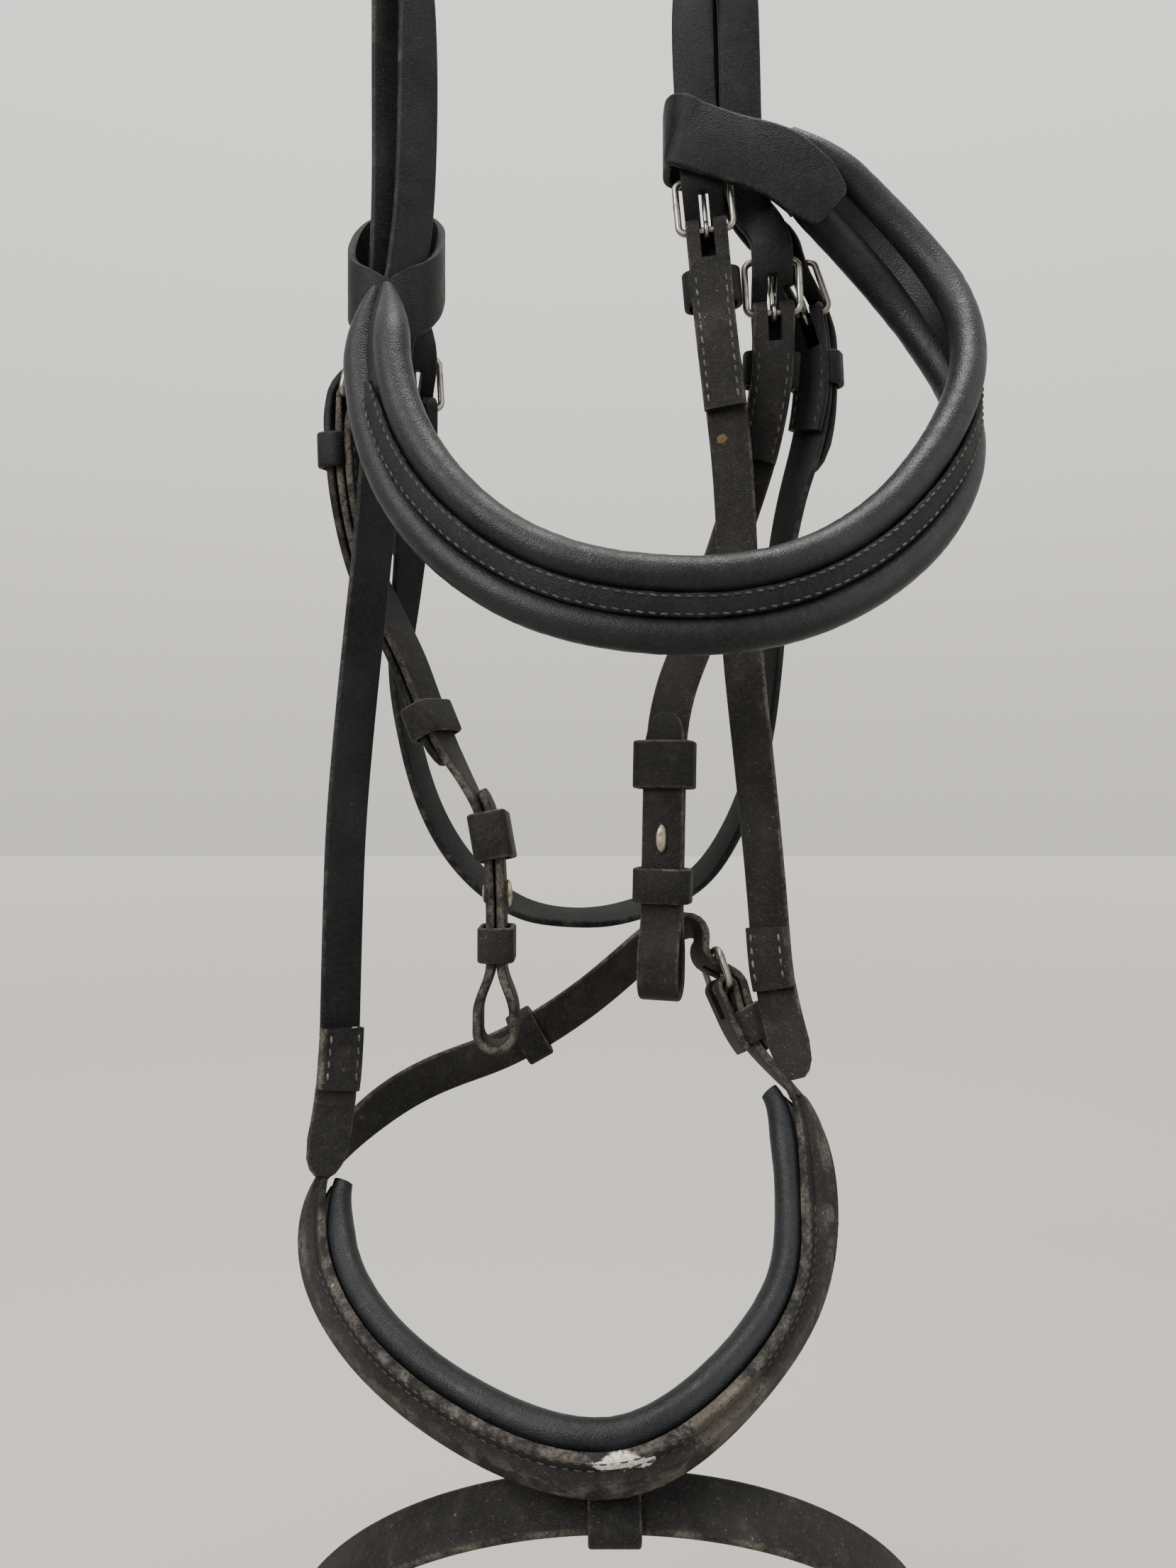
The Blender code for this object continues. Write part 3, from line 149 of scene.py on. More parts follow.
# How far up the bit end each thing sits, in tab lengths: tab tip, runner, stud, fixed keeper
NEAR_BIT_END_SHARES = (1.07, 0.88, 0.607, 0.43)
OFF_BIT_END_SHARES = (0.97, 0.80, 0.590, 0.405)

# Browband
BROWBAND_WIDTH = 0.026
BROWBAND_ROLL_RADIUS = 0.0054
BROWBAND_WEB = 0.0034
BROWBAND_STRIP_WIDTH = 0.0064
BROWBAND_STRIP_THICKNESS = 0.0024
LOOP_HEIGHT = 0.021
LOOP_WALL = 0.0024

# Noseband
NOSE_WIDTH = 0.019
NOSE_THICKNESS = 0.0030
NOSE_RAISE = 0.0022
NOSE_PAD_WIDTH = 0.023
NOSE_PAD_THICKNESS = 0.0085
NOSE_PAD_START = 0.003
NOSE_PAD_OVER = 0.007
SEWN_FOLD_LENGTH = 0.018
FOLD_REACH = 0.0022

# Flash strap
FLASH_RADIUS = 0.095
FLASH_DROOP_DEGREES = 60.0
FLASH_LOOP_WIDTH = 0.0136

# Flex lines, where a hanging strap bends and a joint turns; the two sides meet and just overlap
FLEX_GAP = -0.0001
FLEX_BELOW = 0.056

# From a strap's middle to the middle of one that lies on it, and to that one's far face
LAYER = STRAP_THICKNESS + SEAT_GAP
TWO_LAYERS = LAYER + STRAP_THICKNESS / 2

# The fold round a buckle's bar: the bar's height over the spine, the thinned leather, its middle's radius
BAR_OFFSET = -LAYER / 2
SKIVED = STRAP_THICKNESS * SKIVED_SHARE
LOBE_RADIUS = WIRE_RADIUS + SEAT_GAP + SKIVED / 2
LOBE_REACH = LOBE_RADIUS + SKIVED

# A billet's way through its buckle: shares of the buckle's length ahead of the bar, and heights
BILLET_UNDER = BAR_OFFSET - WIRE_RADIUS - SEAT_GAP - STRAP_THICKNESS / 2
BILLET_OVER = BAR_OFFSET + LOBE_RADIUS + SKIVED / 2 + SEAT_GAP + STRAP_THICKNESS / 2
BILLET_WAY = (
    (-0.75, LAYER * 1.05), (-0.4, LAYER * 1.1), (0.0, BILLET_OVER * 1.04), (0.2, BILLET_OVER * 0.82),
    (0.38, LAYER * 0.42), (0.58, BILLET_UNDER * 0.3), (0.76, BILLET_UNDER * 0.84),
    (0.98, BILLET_UNDER * 1.05), (1.2, BILLET_UNDER * 0.95), (1.55, BILLET_UNDER * 0.45), (1.95, 0.0))

# A strap's rounded tip: how far back, in widths, and how wide
TIP_SHARES = ((0.0, 0.34), (0.12, 0.62), (0.35, 0.86), (0.8, 1.0))
TIP_BACK = TIP_SHARES[-1][0]

# Corners of a rounded section: sides in width and depth, and quarter turns to start from
CORNERS = ((1, 1, 0), (-1, 1, 1), (-1, -1, 2), (1, -1, 3))

# Colours of dust and wear on leather
DUST_COLOUR = (0.17, 0.155, 0.135)
FILM_COLOUR = (0.085, 0.078, 0.070)
RIDGE_COLOUR = (0.125, 0.112, 0.096)


def facing(face, pitch=0.0):
    """Outward direction: face turns in plan from -Y (0) through +X (90), pitch lifts it."""
    turn = math.radians(face)
    lift = math.radians(pitch)
    return Vector((math.sin(turn) * math.cos(lift), -math.cos(turn) * math.cos(lift), math.sin(lift)))


def place(row):
    """A route table's row as a point and an outward direction."""
    point = Vector((row[0] * HALF_SPREAD, row[1] * LAYER_DEPTH, -row[2] * HANG_LENGTH))
    return point, facing(*row[3:])


def smoothed(values, passes, closed):
    """Each value moved towards the middle of its neighbours, over and over; a line's ends stay."""
    values = list(values)
    last = len(values) - 1
    for _ in range(passes):
        following = list(values)
        for i in range(1, last):
            following[i] = values[i] * 0.5 + (values[i - 1] + values[i + 1]) * 0.25
        if closed:
            following[0] = values[0] * 0.5 + (values[1] + values[last - 1]) * 0.25
            following[last] = following[0]
        values = following
    return values


class Spine:
    """A smooth line in space with an outward direction, which straps and fittings follow."""

    def __init__(self, knots, passes=SMOOTH_PASSES):
        self.points = []
        self.faces = []
        self.lengths = [0.0]
        count = len(knots)
        spans = [(knots[i + 1][0] - knots[i][0]).length for i in range(count - 1)]
        slopes = []
        closed = (knots[0][0] - knots[-1][0]).length < SEAT_GAP
        for i in range(count):
            before = max(i - 1, 0)
            after = min(i + 1, count - 1)
            slopes.append((knots[after][0] - knots[before][0]) / sum(spans[before:after]))
        if closed:
            slopes[0] = (knots[1][0] - knots[-2][0]) / (spans[0] + spans[-1])
            slopes[-1] = slopes[0]
        for i in range(count - 1):
            for k in range(KNOT_STEPS + (i == count - 2)):
                u = k / KNOT_STEPS
                a = 2 * u ** 3 - 3 * u ** 2 + 1
                b = u ** 3 - 2 * u ** 2 + u
                c = -2 * u ** 3 + 3 * u ** 2
                d = u ** 3 - u ** 2
                point = a * knots[i][0] + b * spans[i] * slopes[i]
                point += c * knots[i + 1][0] + d * spans[i] * slopes[i + 1]
                ease = u * u * (3 - 2 * u)
                self.points.append(point)
                self.faces.append(knots[i][1].lerp(knots[i + 1][1], ease).normalized())
        self.points = smoothed(self.points, passes, closed)
        self.faces = [face.normalized() for face in smoothed(self.faces, passes, closed)]
        for i in range(1, len(self.points)):
            self.lengths.append(self.lengths[-1] + (self.points[i] - self.points[i - 1]).length)
        self.length = self.lengths[-1]

    def blend(self, distance):
        """Point and outward direction at a distance along the line."""
        low = min(max(bisect.bisect_right(self.lengths, distance) - 1, 0), len(self.lengths) - 2)
        high = low + 1
        share = (distance - self.lengths[low]) / (self.lengths[high] - self.lengths[low])
        point = self.points[low].lerp(self.points[high], share)
        return point, self.faces[low].lerp(self.faces[high], share).normalized()

    def frame(self, distance):
        """Point, direction along, width direction and outward direction."""
        probe = self.length / 2000
        ahead = self.blend(distance + probe)[0]
        behind = self.blend(distance - probe)[0]
        point, face = self.blend(distance)
        along = (ahead - behind).normalized()
        across = along.cross(face).normalized()
        return point, along, across, across.cross(along).normalized()

    def at(self, distance, offset=0.0):
        """A strap station: its centre, moved outward by offset, and its width direction."""
        point, _, across, outward = self.frame(distance)
        return point + outward * offset, across

    def knot(self, index):
        """Distance at a knot of the route table."""
        return self.lengths[index * KNOT_STEPS]

    def nearest(self, height, rising):
        """Distance at which the line passes a height, from the start or from the end."""
        order = range(1, len(self.points))
        if not rising:
            order = reversed(order)
        for i in order:
            low = self.points[i - 1].z
            high = self.points[i].z
            if (low - height) * (high - height) <= 0 and low != high:
                share = (height - low) / (high - low)
                return self.lengths[i - 1] + share * (self.lengths[i] - self.lengths[i - 1])
        return 0.0


def steps_between(start, end, step=STATION_STEP):
    """Evenly spaced distances from start to end, both included."""
    count = max(1, round(abs(end - start) / step))
    return [start + (end - start) * i / count for i in range(count + 1)]


def link(tree, output, target):
    tree.links.new(output, target)


def node(tree, kind, **values):
    made = tree.nodes.new(kind)
    for key, value in values.items():
        setattr(made, key, value)
    return made


def math_node(tree, operation, first, second=None, clamp=False):
    made = node(tree, "ShaderNodeMath", operation=operation, use_clamp=clamp)
    for slot_index, value in enumerate((first, second)):
        if value is None:
            continue
        if hasattr(value, "links"):
            link(tree, value, made.inputs[slot_index])
        else:
            made.inputs[slot_index].default_value = value
    return made.outputs[0]


def spread(tree, value, low, high, to_low=0.0, to_high=1.0):
    """A clamped, smooth change of range."""
    made = node(tree, "ShaderNodeMapRange", interpolation_type="SMOOTHSTEP")
    link(tree, value, made.inputs["Value"])
    for key, number in (("From Min", low), ("From Max", high), ("To Min", to_low), ("To Max", to_high)):
        made.inputs[key].default_value = number
    return made.outputs[0]


def noise_texture(tree, place_on, scale, detail=3.0, rough=0.55, warp=0.0):
    made = node(tree, "ShaderNodeTexNoise")
    link(tree, place_on, made.inputs["Vector"])
    made.inputs["Scale"].default_value = scale
    made.inputs["Detail"].default_value = detail
    made.inputs["Roughness"].default_value = rough
    made.inputs["Distortion"].default_value = warp
    return made.outputs["Fac"]


def mix_colour(tree, share, first, second):
    made = node(tree, "ShaderNodeMix", data_type="RGBA")
    link(tree, share, made.inputs["Factor"])
    for slot_index, value in ((6, first), (7, second)):
        if hasattr(value, "links"):
            link(tree, value, made.inputs[slot_index])
        else:
            made.inputs[slot_index].default_value = (*value, 1.0)
    return made.outputs[2]


def product(tree, first, *others, clamp=False):
    """Values multiplied together; clamp keeps the last product between zero and one."""
    for i, other in enumerate(others):
        first = math_node(tree, "MULTIPLY", first, other, clamp and i == len(others) - 1)
    return first


def vector_node(tree, operation, first, second=None):
    made = node(tree, "ShaderNodeVectorMath", operation=operation)
    link(tree, first, made.inputs[0])
    if second:
        made.inputs[1].default_value = second
    return made.outputs["Value" if operation in ("LENGTH", "DISTANCE") else "Vector"]


def colour_ramp(tree, value, tones):
    """Colours along a value, from rows of a stop and its colour."""
    made = node(tree, "ShaderNodeValToRGB")
    link(tree, value, made.inputs[0])
    for where, colour in tones[1:-1]:
        made.color_ramp.elements.new(where)
    for stop, (where, colour) in zip(made.color_ramp.elements, tones):
        stop.position = where
        stop.color = (*colour, 1)
    return made.outputs[0]


def start_material(name):
    """A new material, its nodes, its shader and the place on the piece."""
    made = bpy.data.materials.new(name)
    made.use_nodes = True
    tree = made.node_tree
    place_on = node(tree, "ShaderNodeTexCoord").outputs["Object"]
    return made, tree, tree.nodes["Principled BSDF"], place_on


def relief(tree, shader, height, strength, distance):
    """Fine relief on a surface."""
    made = node(tree, "ShaderNodeBump")
    made.inputs["Strength"].default_value = strength
    made.inputs["Distance"].default_value = distance
    link(tree, height, made.inputs["Height"])
    link(tree, made.outputs[0], shader.inputs["Normal"])


def leather_material(name, base, edge, wear, dust, roughness, grain=1.0, rubs=(), crease=0.0, ridge=0.0,
                     gloss=0.10):
    """Leather with grain, dust and edges worn pale.

    rubs are places where the finish has rubbed away, each a centre, sizes, colour and strength.
    ridge wears the raised middle of the piece, and crease adds fine folds along it.
    """
    made, tree, shader, place_on = start_material(name)
    cross = node(tree, "ShaderNodeUVMap", uv_map="cross").outputs[0]
    parts = node(tree, "ShaderNodeSeparateXYZ")
    link(tree, cross, parts.inputs[0])
    away = math_node(tree, "ABSOLUTE", parts.outputs[0])
    blotch = noise_texture(tree, place_on, 38.0, 4.0, 0.6)
    cloud = noise_texture(tree, place_on, 150.0, 4.0, 0.65, 0.4)
    fine = noise_texture(tree, place_on, 900.0, 3.0, 0.7)
    speck = noise_texture(tree, place_on, 1500.0, 2.0, 0.6)
    patchy = tuple(c * 1.9 + 0.002 for c in base)
    grained = tuple(c * 2.6 + 0.004 for c in base)
    tone = mix_colour(tree, spread(tree, blotch, 0.35, 0.7), base, patchy)
    tone = mix_colour(tree, spread(tree, fine, 0.42, 0.72, 0.0, 0.55), tone, grained)
    at_edge = spread(tree, away, 0.86, 1.0)
    ragged = spread(tree, cloud, 0.60 - 0.35 * wear, 0.80 - 0.2 * wear)
    fretted = spread(tree, fine, 0.25, 0.62)
    worn = product(tree, at_edge, ragged, fretted, 0.25 + 0.75 * wear, clamp=True)
    tone = mix_colour(tree, worn, tone, edge)
    specks = spread(tree, speck, 0.70 - 0.10 * dust, 0.80 - 0.08 * dust)
    patches = spread(tree, blotch, 0.35, 0.75, 0.15 + 0.3 * dust, 1.0)
    dusty = product(tree, specks, patches, 0.2 + 0.8 * dust, clamp=True)
    tone = mix_colour(tree, dusty, tone, DUST_COLOUR)
    film = product(tree, spread(tree, cloud, 0.45, 0.85), 0.35 * dust)
    tone = mix_colour(tree, film, tone, FILM_COLOUR)
    worn = math_node(tree, "MAXIMUM", worn, product(tree, film, 0.8))
    if ridge:
        middle = spread(tree, away, 0.46, 0.30)
        rubbed = spread(tree, fine, 0.30, 0.62, 0.2, 1.0)
        upon = product(tree, middle, spread(tree, cloud, 0.38, 0.66), rubbed, ridge, clamp=True)
        tone = mix_colour(tree, upon, tone, RIDGE_COLOUR)
        worn = math_node(tree, "MAXIMUM", worn, upon)
    for centre, sizes, colour, strength in rubs:
        shares = vector_node(tree, "DIVIDE", vector_node(tree, "SUBTRACT", place_on, centre), sizes)
        near = spread(tree, vector_node(tree, "LENGTH", shares), 1.0, 0.3)
        grains = math_node(tree, "ADD", product(tree, cloud, 1.7), fine)
        torn = spread(tree, math_node(tree, "ADD", near, grains), 1.75, 2.10)
        torn = product(tree, torn, strength, spread(tree, fine, 0.3, 0.55, 0.35, 1.0))
        tone = mix_colour(tree, torn, tone, colour)
        worn = math_node(tree, "MAXIMUM", worn, torn)
    link(tree, tone, shader.inputs["Base Color"])
    sheen = spread(tree, cloud, 0.3, 0.8, roughness - 0.07, roughness + 0.09)
    link(tree, math_node(tree, "ADD", sheen, product(tree, worn, 0.25), True), shader.inputs["Roughness"])
    shader.inputs["Specular IOR Level"].default_value = gloss
    pores = node(tree, "ShaderNodeTexVoronoi", feature="DISTANCE_TO_EDGE")
    link(tree, place_on, pores.inputs["Vector"])
    pores.inputs["Scale"].default_value = 1150.0
    height = product(tree, spread(tree, pores.outputs["Distance"], 0.0, 0.28), 0.6)
    height = math_node(tree, "ADD", height, product(tree, fine, 0.7))
    height = math_node(tree, "ADD", height, product(tree, cloud, 1.4))
    if crease:
        stretched = node(tree, "ShaderNodeMapping")
        link(tree, node(tree, "ShaderNodeUVMap", uv_map="run").outputs[0], stretched.inputs[0])
        stretched.inputs["Scale"].default_value = (1.0, 0.0035, 1.0)
        folds = noise_texture(tree, stretched.outputs[0], 620.0, 2.0, 0.5, 0.5)
        height = math_node(tree, "ADD", height, product(tree, folds, crease))
    relief(tree, shader, height, 0.45 * grain, 0.00022)
    return made


def metal_material(name, colour, roughness, tarnish):
    """Plated metal, lightly scratched, with dull patches."""
    made, tree, shader, place_on = start_material(name)
    cloud = noise_texture(tree, place_on, 260.0, 4.0, 0.6)
    patch = spread(tree, cloud, 0.48, 0.72)
    link(tree, mix_colour(tree, patch, colour, tarnish), shader.inputs["Base Color"])
    link(tree, spread(tree, cloud, 0.35, 0.75, roughness, roughness + 0.22), shader.inputs["Roughness"])
    shader.inputs["Metallic"].default_value = 1.0
    relief(tree, shader, noise_texture(tree, place_on, 1800.0, 3.0, 0.6), 0.25, 0.00008)
    return made


def thread_material(name, colour, worn):
    """Waxed thread, twisted, with lighter fibres."""
    made, tree, shader, place_on = start_material(name)
    cloud = noise_texture(tree, place_on, 500.0, 3.0, 0.6)
    link(tree, mix_colour(tree, spread(tree, cloud, 0.4, 0.68), colour, worn), shader.inputs["Base Color"])
    shader.inputs["Roughness"].default_value = 0.75
    relief(tree, shader, noise_texture(tree, place_on, 3500.0, 2.0, 0.6), 0.5, 0.0001)
    return made


made_pieces = {}


def outward_mesh(name, vertices, faces):
    """A mesh from points and faces, all turned outward."""
    mesh = bpy.data.meshes.new(name)
    mesh.from_pydata([tuple(v) for v in vertices], [], faces)
    shape = bmesh.new()
    shape.from_mesh(mesh)
    bmesh.ops.recalc_face_normals(shape, faces=shape.faces)
    shape.to_mesh(mesh)
    shape.free()
    return mesh


def finish(name, vertices, faces, surface, cross=None, runs=None):
    """A piece from points and faces, with its width and length as UV maps."""
    mesh = outward_mesh(name, vertices, faces)
    if cross:
        across_map = mesh.uv_layers.new(name="cross")
        run_map = mesh.uv_layers.new(name="run")
        for loop in mesh.loops:
            row, k = divmod(loop.vertex_index, len(cross))
            across_map.data[loop.index].uv = cross[k]
            run_map.data[loop.index].uv = (runs[row], cross[k][0])
    mesh.materials.append(surface)
    mesh.shade_smooth()
    mesh.set_sharp_from_angle(angle=math.radians(SMOOTH_DEGREES))
    made = bpy.data.objects.new(name + "_look", mesh)
    bpy.context.scene.collection.objects.link(made)
    made_pieces[name] = made
    return made


def skin(start, count, size, closed=False):
    """Faces round rings of size points from index start on; an open run gets a cap at each end."""
    faces = []
    for i in range(count if closed else count - 1):
        this = start + i * size
        following = start + (i + 1) % count * size
        for k in range(size):
            right = (k + 1) % size
            faces.append((this + k, this + right, following + right, following + k))
    if not closed:
        last = start + (count - 1) * size
        faces.append(tuple(range(start, start + size)))
        faces.append(tuple(range(last, last + size)))
    return faces


def sweep(name, rings, surface, closed=False, cross=None):
    """A solid through rings of points."""
    size = len(rings[0])
    vertices = [point for ring in rings for point in ring]
    middles = [sum(ring, Vector()) / size for ring in rings]
    runs = [0.0]
    for before, after in zip(middles, middles[1:]):
        runs.append(runs[-1] + (after - before).length)
    if cross is None:
        cross = [(0.0, 1.0)] * size
    return finish(name, vertices, skin(0, len(rings), size, closed), surface, cross, runs)


def corner_turns(turns):
    """Sides, cosine and sine of each point round four corners, turns points to a corner."""
    made = []
    for side_a, side_b, first in CORNERS:
        for k in range(turns):
            angle = math.pi / 2 * (first + k / (turns - 1))
            made.append((side_a, side_b, math.cos(angle), math.sin(angle)))
    return made


def strap_section(width, thickness, plus=1.0, minus=1.0):
    """A strap's section with rounded edges, width first; plus and minus scale the two edges' rounding."""
    half = width / 2
    deep = thickness / 2
    points = []
    for side_a, side_b, a, b in corner_turns(SECTION_TURNS):
        radius = min(EDGE_ROUND, deep * 0.9, half * 0.6) * (plus if side_a > 0 else minus) + 1e-5
        points.append((side_a * (half - radius) + radius * a, side_b * (deep - radius) + radius * b))
    return points


def end_direction(first, second, third):
    """Direction of a curve at its first point, from three points."""
    near = (second - first).length
    far = (third - first).length
    return (second - first) / near * far - (third - first) / far * near


def station_frames(stations):
    """Centre, width direction and thickness direction at each station."""
    frames = []
    last = len(stations) - 1
    places = [station[0] for station in stations]
    for i, (centre, across) in enumerate(stations):
        along = places[min(i + 1, last)] - places[max(i - 1, 0)]
        if i == 0 and last > 1:
            along = end_direction(places[0], places[1], places[2])
        if i == last and last > 1:
            along = -end_direction(places[last], places[last - 1], places[last - 2])
        along.normalize()
        outward = across.cross(along).normalized()
        frames.append((centre, along.cross(outward).normalized(), outward))
    return frames


def strap(name, stations, surface, width_shares=None, thick_shares=None, width=STRAP_WIDTH,
          thickness=STRAP_THICKNESS, square=None):
    """A strap through stations of centre and width direction, its edges rounded."""
    rings = []
    cross = [(2 * a / width, 2 * b / thickness) for a, b in strap_section(width, thickness)]
    for i, (centre, across, outward) in enumerate(station_frames(stations)):
        wide = width * (width_shares[i] if width_shares else 1)
        thick = thickness * (thick_shares[i] if thick_shares else 1)
        plus, minus = square[i] if square else (1.0, 1.0)
        section = strap_section(wide, thick, plus, minus)
        rings.append([centre + across * a + outward * b for a, b in section])
    return sweep(name, rings, surface, False, cross)


class Buckle:
    """Where a single-bar buckle sits on a spine, and the lines of the straps in it.

    side is +1 if the billet comes from further along the spine, and -1 if from before.
    """

    def __init__(self, spine, bar, side, width, chape, length=BUCKLE_LENGTH):
        self.spine = spine
        self.bar = bar
        self.side = side
        self.width = width
        self.chape = chape
        self.length = length
        point, _, across, _ = spine.frame(bar)
        self.along = (spine.blend(bar + side * length)[0] - point).normalized()
        self.outward = across.cross(self.along * side).normalized()
        self.across = (self.along * side).cross(self.outward).normalized()
        self.centre = point + self.outward * BAR_OFFSET

    def local(self, ahead, lift):
        """A point beside the bar: ahead towards the billet, lift outward from the bar's centre."""
        return self.centre + self.along * ahead + self.outward * lift

    def fold_stations(self):
        """The chape: from its cut end up the inner side, round the bar, to the strap's own layer."""
        made = []
        for back in steps_between(self.chape, LOBE_RADIUS * 3, STATION_STEP / 2):
            made.append((self.spine.at(self.bar - self.side * back, -LAYER), 1.0))
        turns = 16
        for k in range(turns + 1):
            angle = math.pi * (k / turns - 0.5)
            point = self.local(LOBE_RADIUS * math.cos(angle), LOBE_RADIUS * math.sin(angle))
            made.append(((point, self.across), SKIVED_SHARE))
        return made

    def main_start(self):
        """Distance where the strap's own layer is settled below the bar."""
        return self.bar - self.side * LOBE_RADIUS * 4

    def billet_offset(self, ahead):
        """How far outward of the spine the billet lies, behind the far bar and over the chape."""
        share = ahead / self.length
        if share <= BILLET_WAY[0][0]:
            return BILLET_WAY[0][1]
        for (s0, h0), (s1, h1) in zip(BILLET_WAY, BILLET_WAY[1:]):
            if share <= s1:
                return h0 + (h1 - h0) * ((share - s0) / (s1 - s0))
        return 0.0

    def billet_station(self, ahead):
        """The billet's station ahead of the bar: straight through the frame, on the spine elsewhere."""
        offset = self.billet_offset(ahead)
        place_on, across_on = self.spine.at(self.bar + self.side * ahead, offset)
        share = ahead / self.length
        straight = min(1.0, max(0.0, (share + 0.9) / 0.6), max(0.0, (2.0 - share) / 0.75))
        inside = self.local(ahead, offset - BAR_OFFSET)
        return place_on.lerp(inside, straight), across_on.lerp(self.across, straight).normalized()

    def tip_stations(self, tip_length, end, width):
        """From the billet's rounded tip to the distance end below the bar."""
        made = []
        tip = self.bar - self.side * tip_length
        for back, wide in TIP_SHARES:
            distance = tip + self.side * back * width
            made.append((self.billet_station((distance - self.bar) * self.side), wide))
        for ahead in steps_between(-tip_length + TIP_BACK * width, -end, STATION_STEP / 2)[1:]:
            made.append((self.billet_station(ahead), 1.0))
        return made

    def billet_stations(self, tip_length, start, width, square=False):
        """From the billet's tip, over the chape, through the frame and up to start."""
        near = -0.5 * self.length
        far = 2.0 * self.length
        if square:
            marks = steps_between(-tip_length, near, STATION_STEP / 2)
            made = [(self.billet_station(ahead), 1.0) for ahead in marks]
        else:
            made = self.tip_stations(tip_length, -near, width)
        for ahead in steps_between(near, far, FINE_STEP)[1:]:
            made.append((self.billet_station(ahead), 1.0))
        for distance in steps_between(self.bar + self.side * far, start)[1:]:
            made.append((self.spine.at(distance), 1.0))
        return made


def round_ring(centre, first, second, radius, sides):
    """Points of a circle in the plane of two directions."""
    return [centre + first * radius * math.cos(2 * math.pi * k / sides)
            + second * radius * math.sin(2 * math.pi * k / sides) for k in range(sides)]


def tube(name, points, radii, surface, closed=False, sides=16, guide=None):
    """A round wire through points."""
    rings = []
    count = len(points)
    for i, point in enumerate(points):
        before = points[(i - 1) % count] if closed else points[max(i - 1, 0)]
        after = points[(i + 1) % count] if closed else points[min(i + 1, count - 1)]
        along = (after - before).normalized()
        first = guide.cross(along).normalized()
        rings.append(round_ring(point, first, along.cross(first), radii[i], sides))
    return sweep(name, rings, surface, closed)


def buckle_frame(name, buckle, surface):
    """A rectangular wire frame with rounded corners, its heel bar in the chape."""
    half = buckle.width / 2 + BUCKLE_SIDE_GAP + WIRE_RADIUS
    corner = FRAME_CORNER
    points = []
    for side_a, side_b, first in ((1, 0, 0), (1, 1, 1), (-1, 1, 2), (-1, 0, 3)):
        centre_a = side_a * (half - corner)
        centre_b = buckle.length - corner if side_b else corner
        for k in range(9):
            angle = math.pi / 2 * (first - 1 + k / 8)
            a = centre_a + corner * math.cos(angle)
            b = centre_b + corner * math.sin(angle)
            points.append(buckle.centre + buckle.across * a + buckle.along * b)
    return tube(name, points, [WIRE_RADIUS] * len(points), surface, True, 16, buckle.outward)


def buckle_tongue(name, buckle, surface):
    """A tongue that curls round the heel bar and lies over the far bar."""
    radius = WIRE_RADIUS + RUNNING_GAP + TONGUE_RADIUS
    points = []
    turns = 24
    for k in range(turns + 1):
        angle = math.radians(CURL_START + (CURL_END - CURL_START) * k / turns)
        points.append(buckle.local(-radius * math.cos(angle), radius * math.sin(angle)))
    points.reverse()
    for share in TONGUE_SHARES:
        points.insert(0, buckle.local(buckle.length * share, radius))
    radii = [TONGUE_RADIUS * 0.6] + [TONGUE_RADIUS] * (len(points) - 1)
    return tube(name, points, radii, surface, False, 14, buckle.across)


def band(name, frame_at, inner_width, inner_depth, wall, height, surface):
    """A keeper: a strap closed into a rounded ring that stands along the strap, its rims eased."""
    centre, along, across, outward = frame_at
    rim = min(wall, height) * RIM_SHARE
    profile = []
    for side_t, side_z, t, z in corner_turns(4):
        profile.append(((wall - rim if side_t > 0 else rim) + rim * t, side_z * (height / 2 - rim) + rim * z))
    rings = []
    for side_a, side_b, turn_a, turn_b in corner_turns(7):
        ring = []
        for t, z in profile:
            a = side_a * (inner_width / 2 - KEEPER_CORNER) + (KEEPER_CORNER + t) * turn_a
            b = side_b * (inner_depth / 2 - KEEPER_CORNER) + (KEEPER_CORNER + t) * turn_b
            ring.append(centre + across * a + outward * b + along * z)
        rings.append(ring)
    cross = [(2 * z / height, 2 * t / wall - 1) for t, z in profile]
    return sweep(name, rings, surface, True, cross)


def keeper(name, spine, distance, width, low, high, height, surface, gap=KEEPER_GAP):
    """A keeper round the layers between the offsets low and high."""
    point, along, across, outward = spine.frame(distance)
    middle = point + outward * (low + high) / 2
    return band(name, (middle, along, across, outward), width + 2 * gap, high - low + 2 * gap,
                KEEPER_WALL, height, surface)


def cut(target, prisms):
    """Cuts prisms, each a pair of rings, out of a strap."""
    vertices = []
    faces = []
    for low, high in prisms:
        faces += skin(len(vertices), 2, len(low))
        vertices += low + high
    tool = bpy.data.objects.new("cutter", outward_mesh("cutter", vertices, faces))
    bpy.context.scene.collection.objects.link(tool)
    apply_boolean(target, tool, "DIFFERENCE")


def apply_boolean(target, tool, operation):
    """Applies one boolean and removes its tool."""
    change = target.modifiers.new("cut", "BOOLEAN")
    change.operation = operation
    change.solver = "EXACT"
    change.object = tool
    graph = bpy.context.evaluated_depsgraph_get()
    mesh = bpy.data.meshes.new_from_object(target.evaluated_get(graph))
    target.modifiers.clear()
    target.data = mesh
    mesh.set_sharp_from_angle(angle=math.radians(SMOOTH_DEGREES))
    bpy.data.objects.remove(tool, do_unlink=True)


def round_prism(centre, first, second, outward, radius, depth):
    low = round_ring(centre - outward * depth, first, second, radius, 20)
    high = round_ring(centre + outward * depth, first, second, radius, 20)
    return low, high


def slot_prism(buckle, start, end, width, depth):
    """A box through the straps in a buckle, from start to end ahead of its bar."""
    half = width / 2
    corners = ((start, -half), (end, -half), (end, half), (start, half))
    flat = [buckle.centre + buckle.along * a + buckle.across * b for a, b in corners]
    shift = buckle.outward * depth
    return [point - shift for point in flat], [point + shift for point in flat]


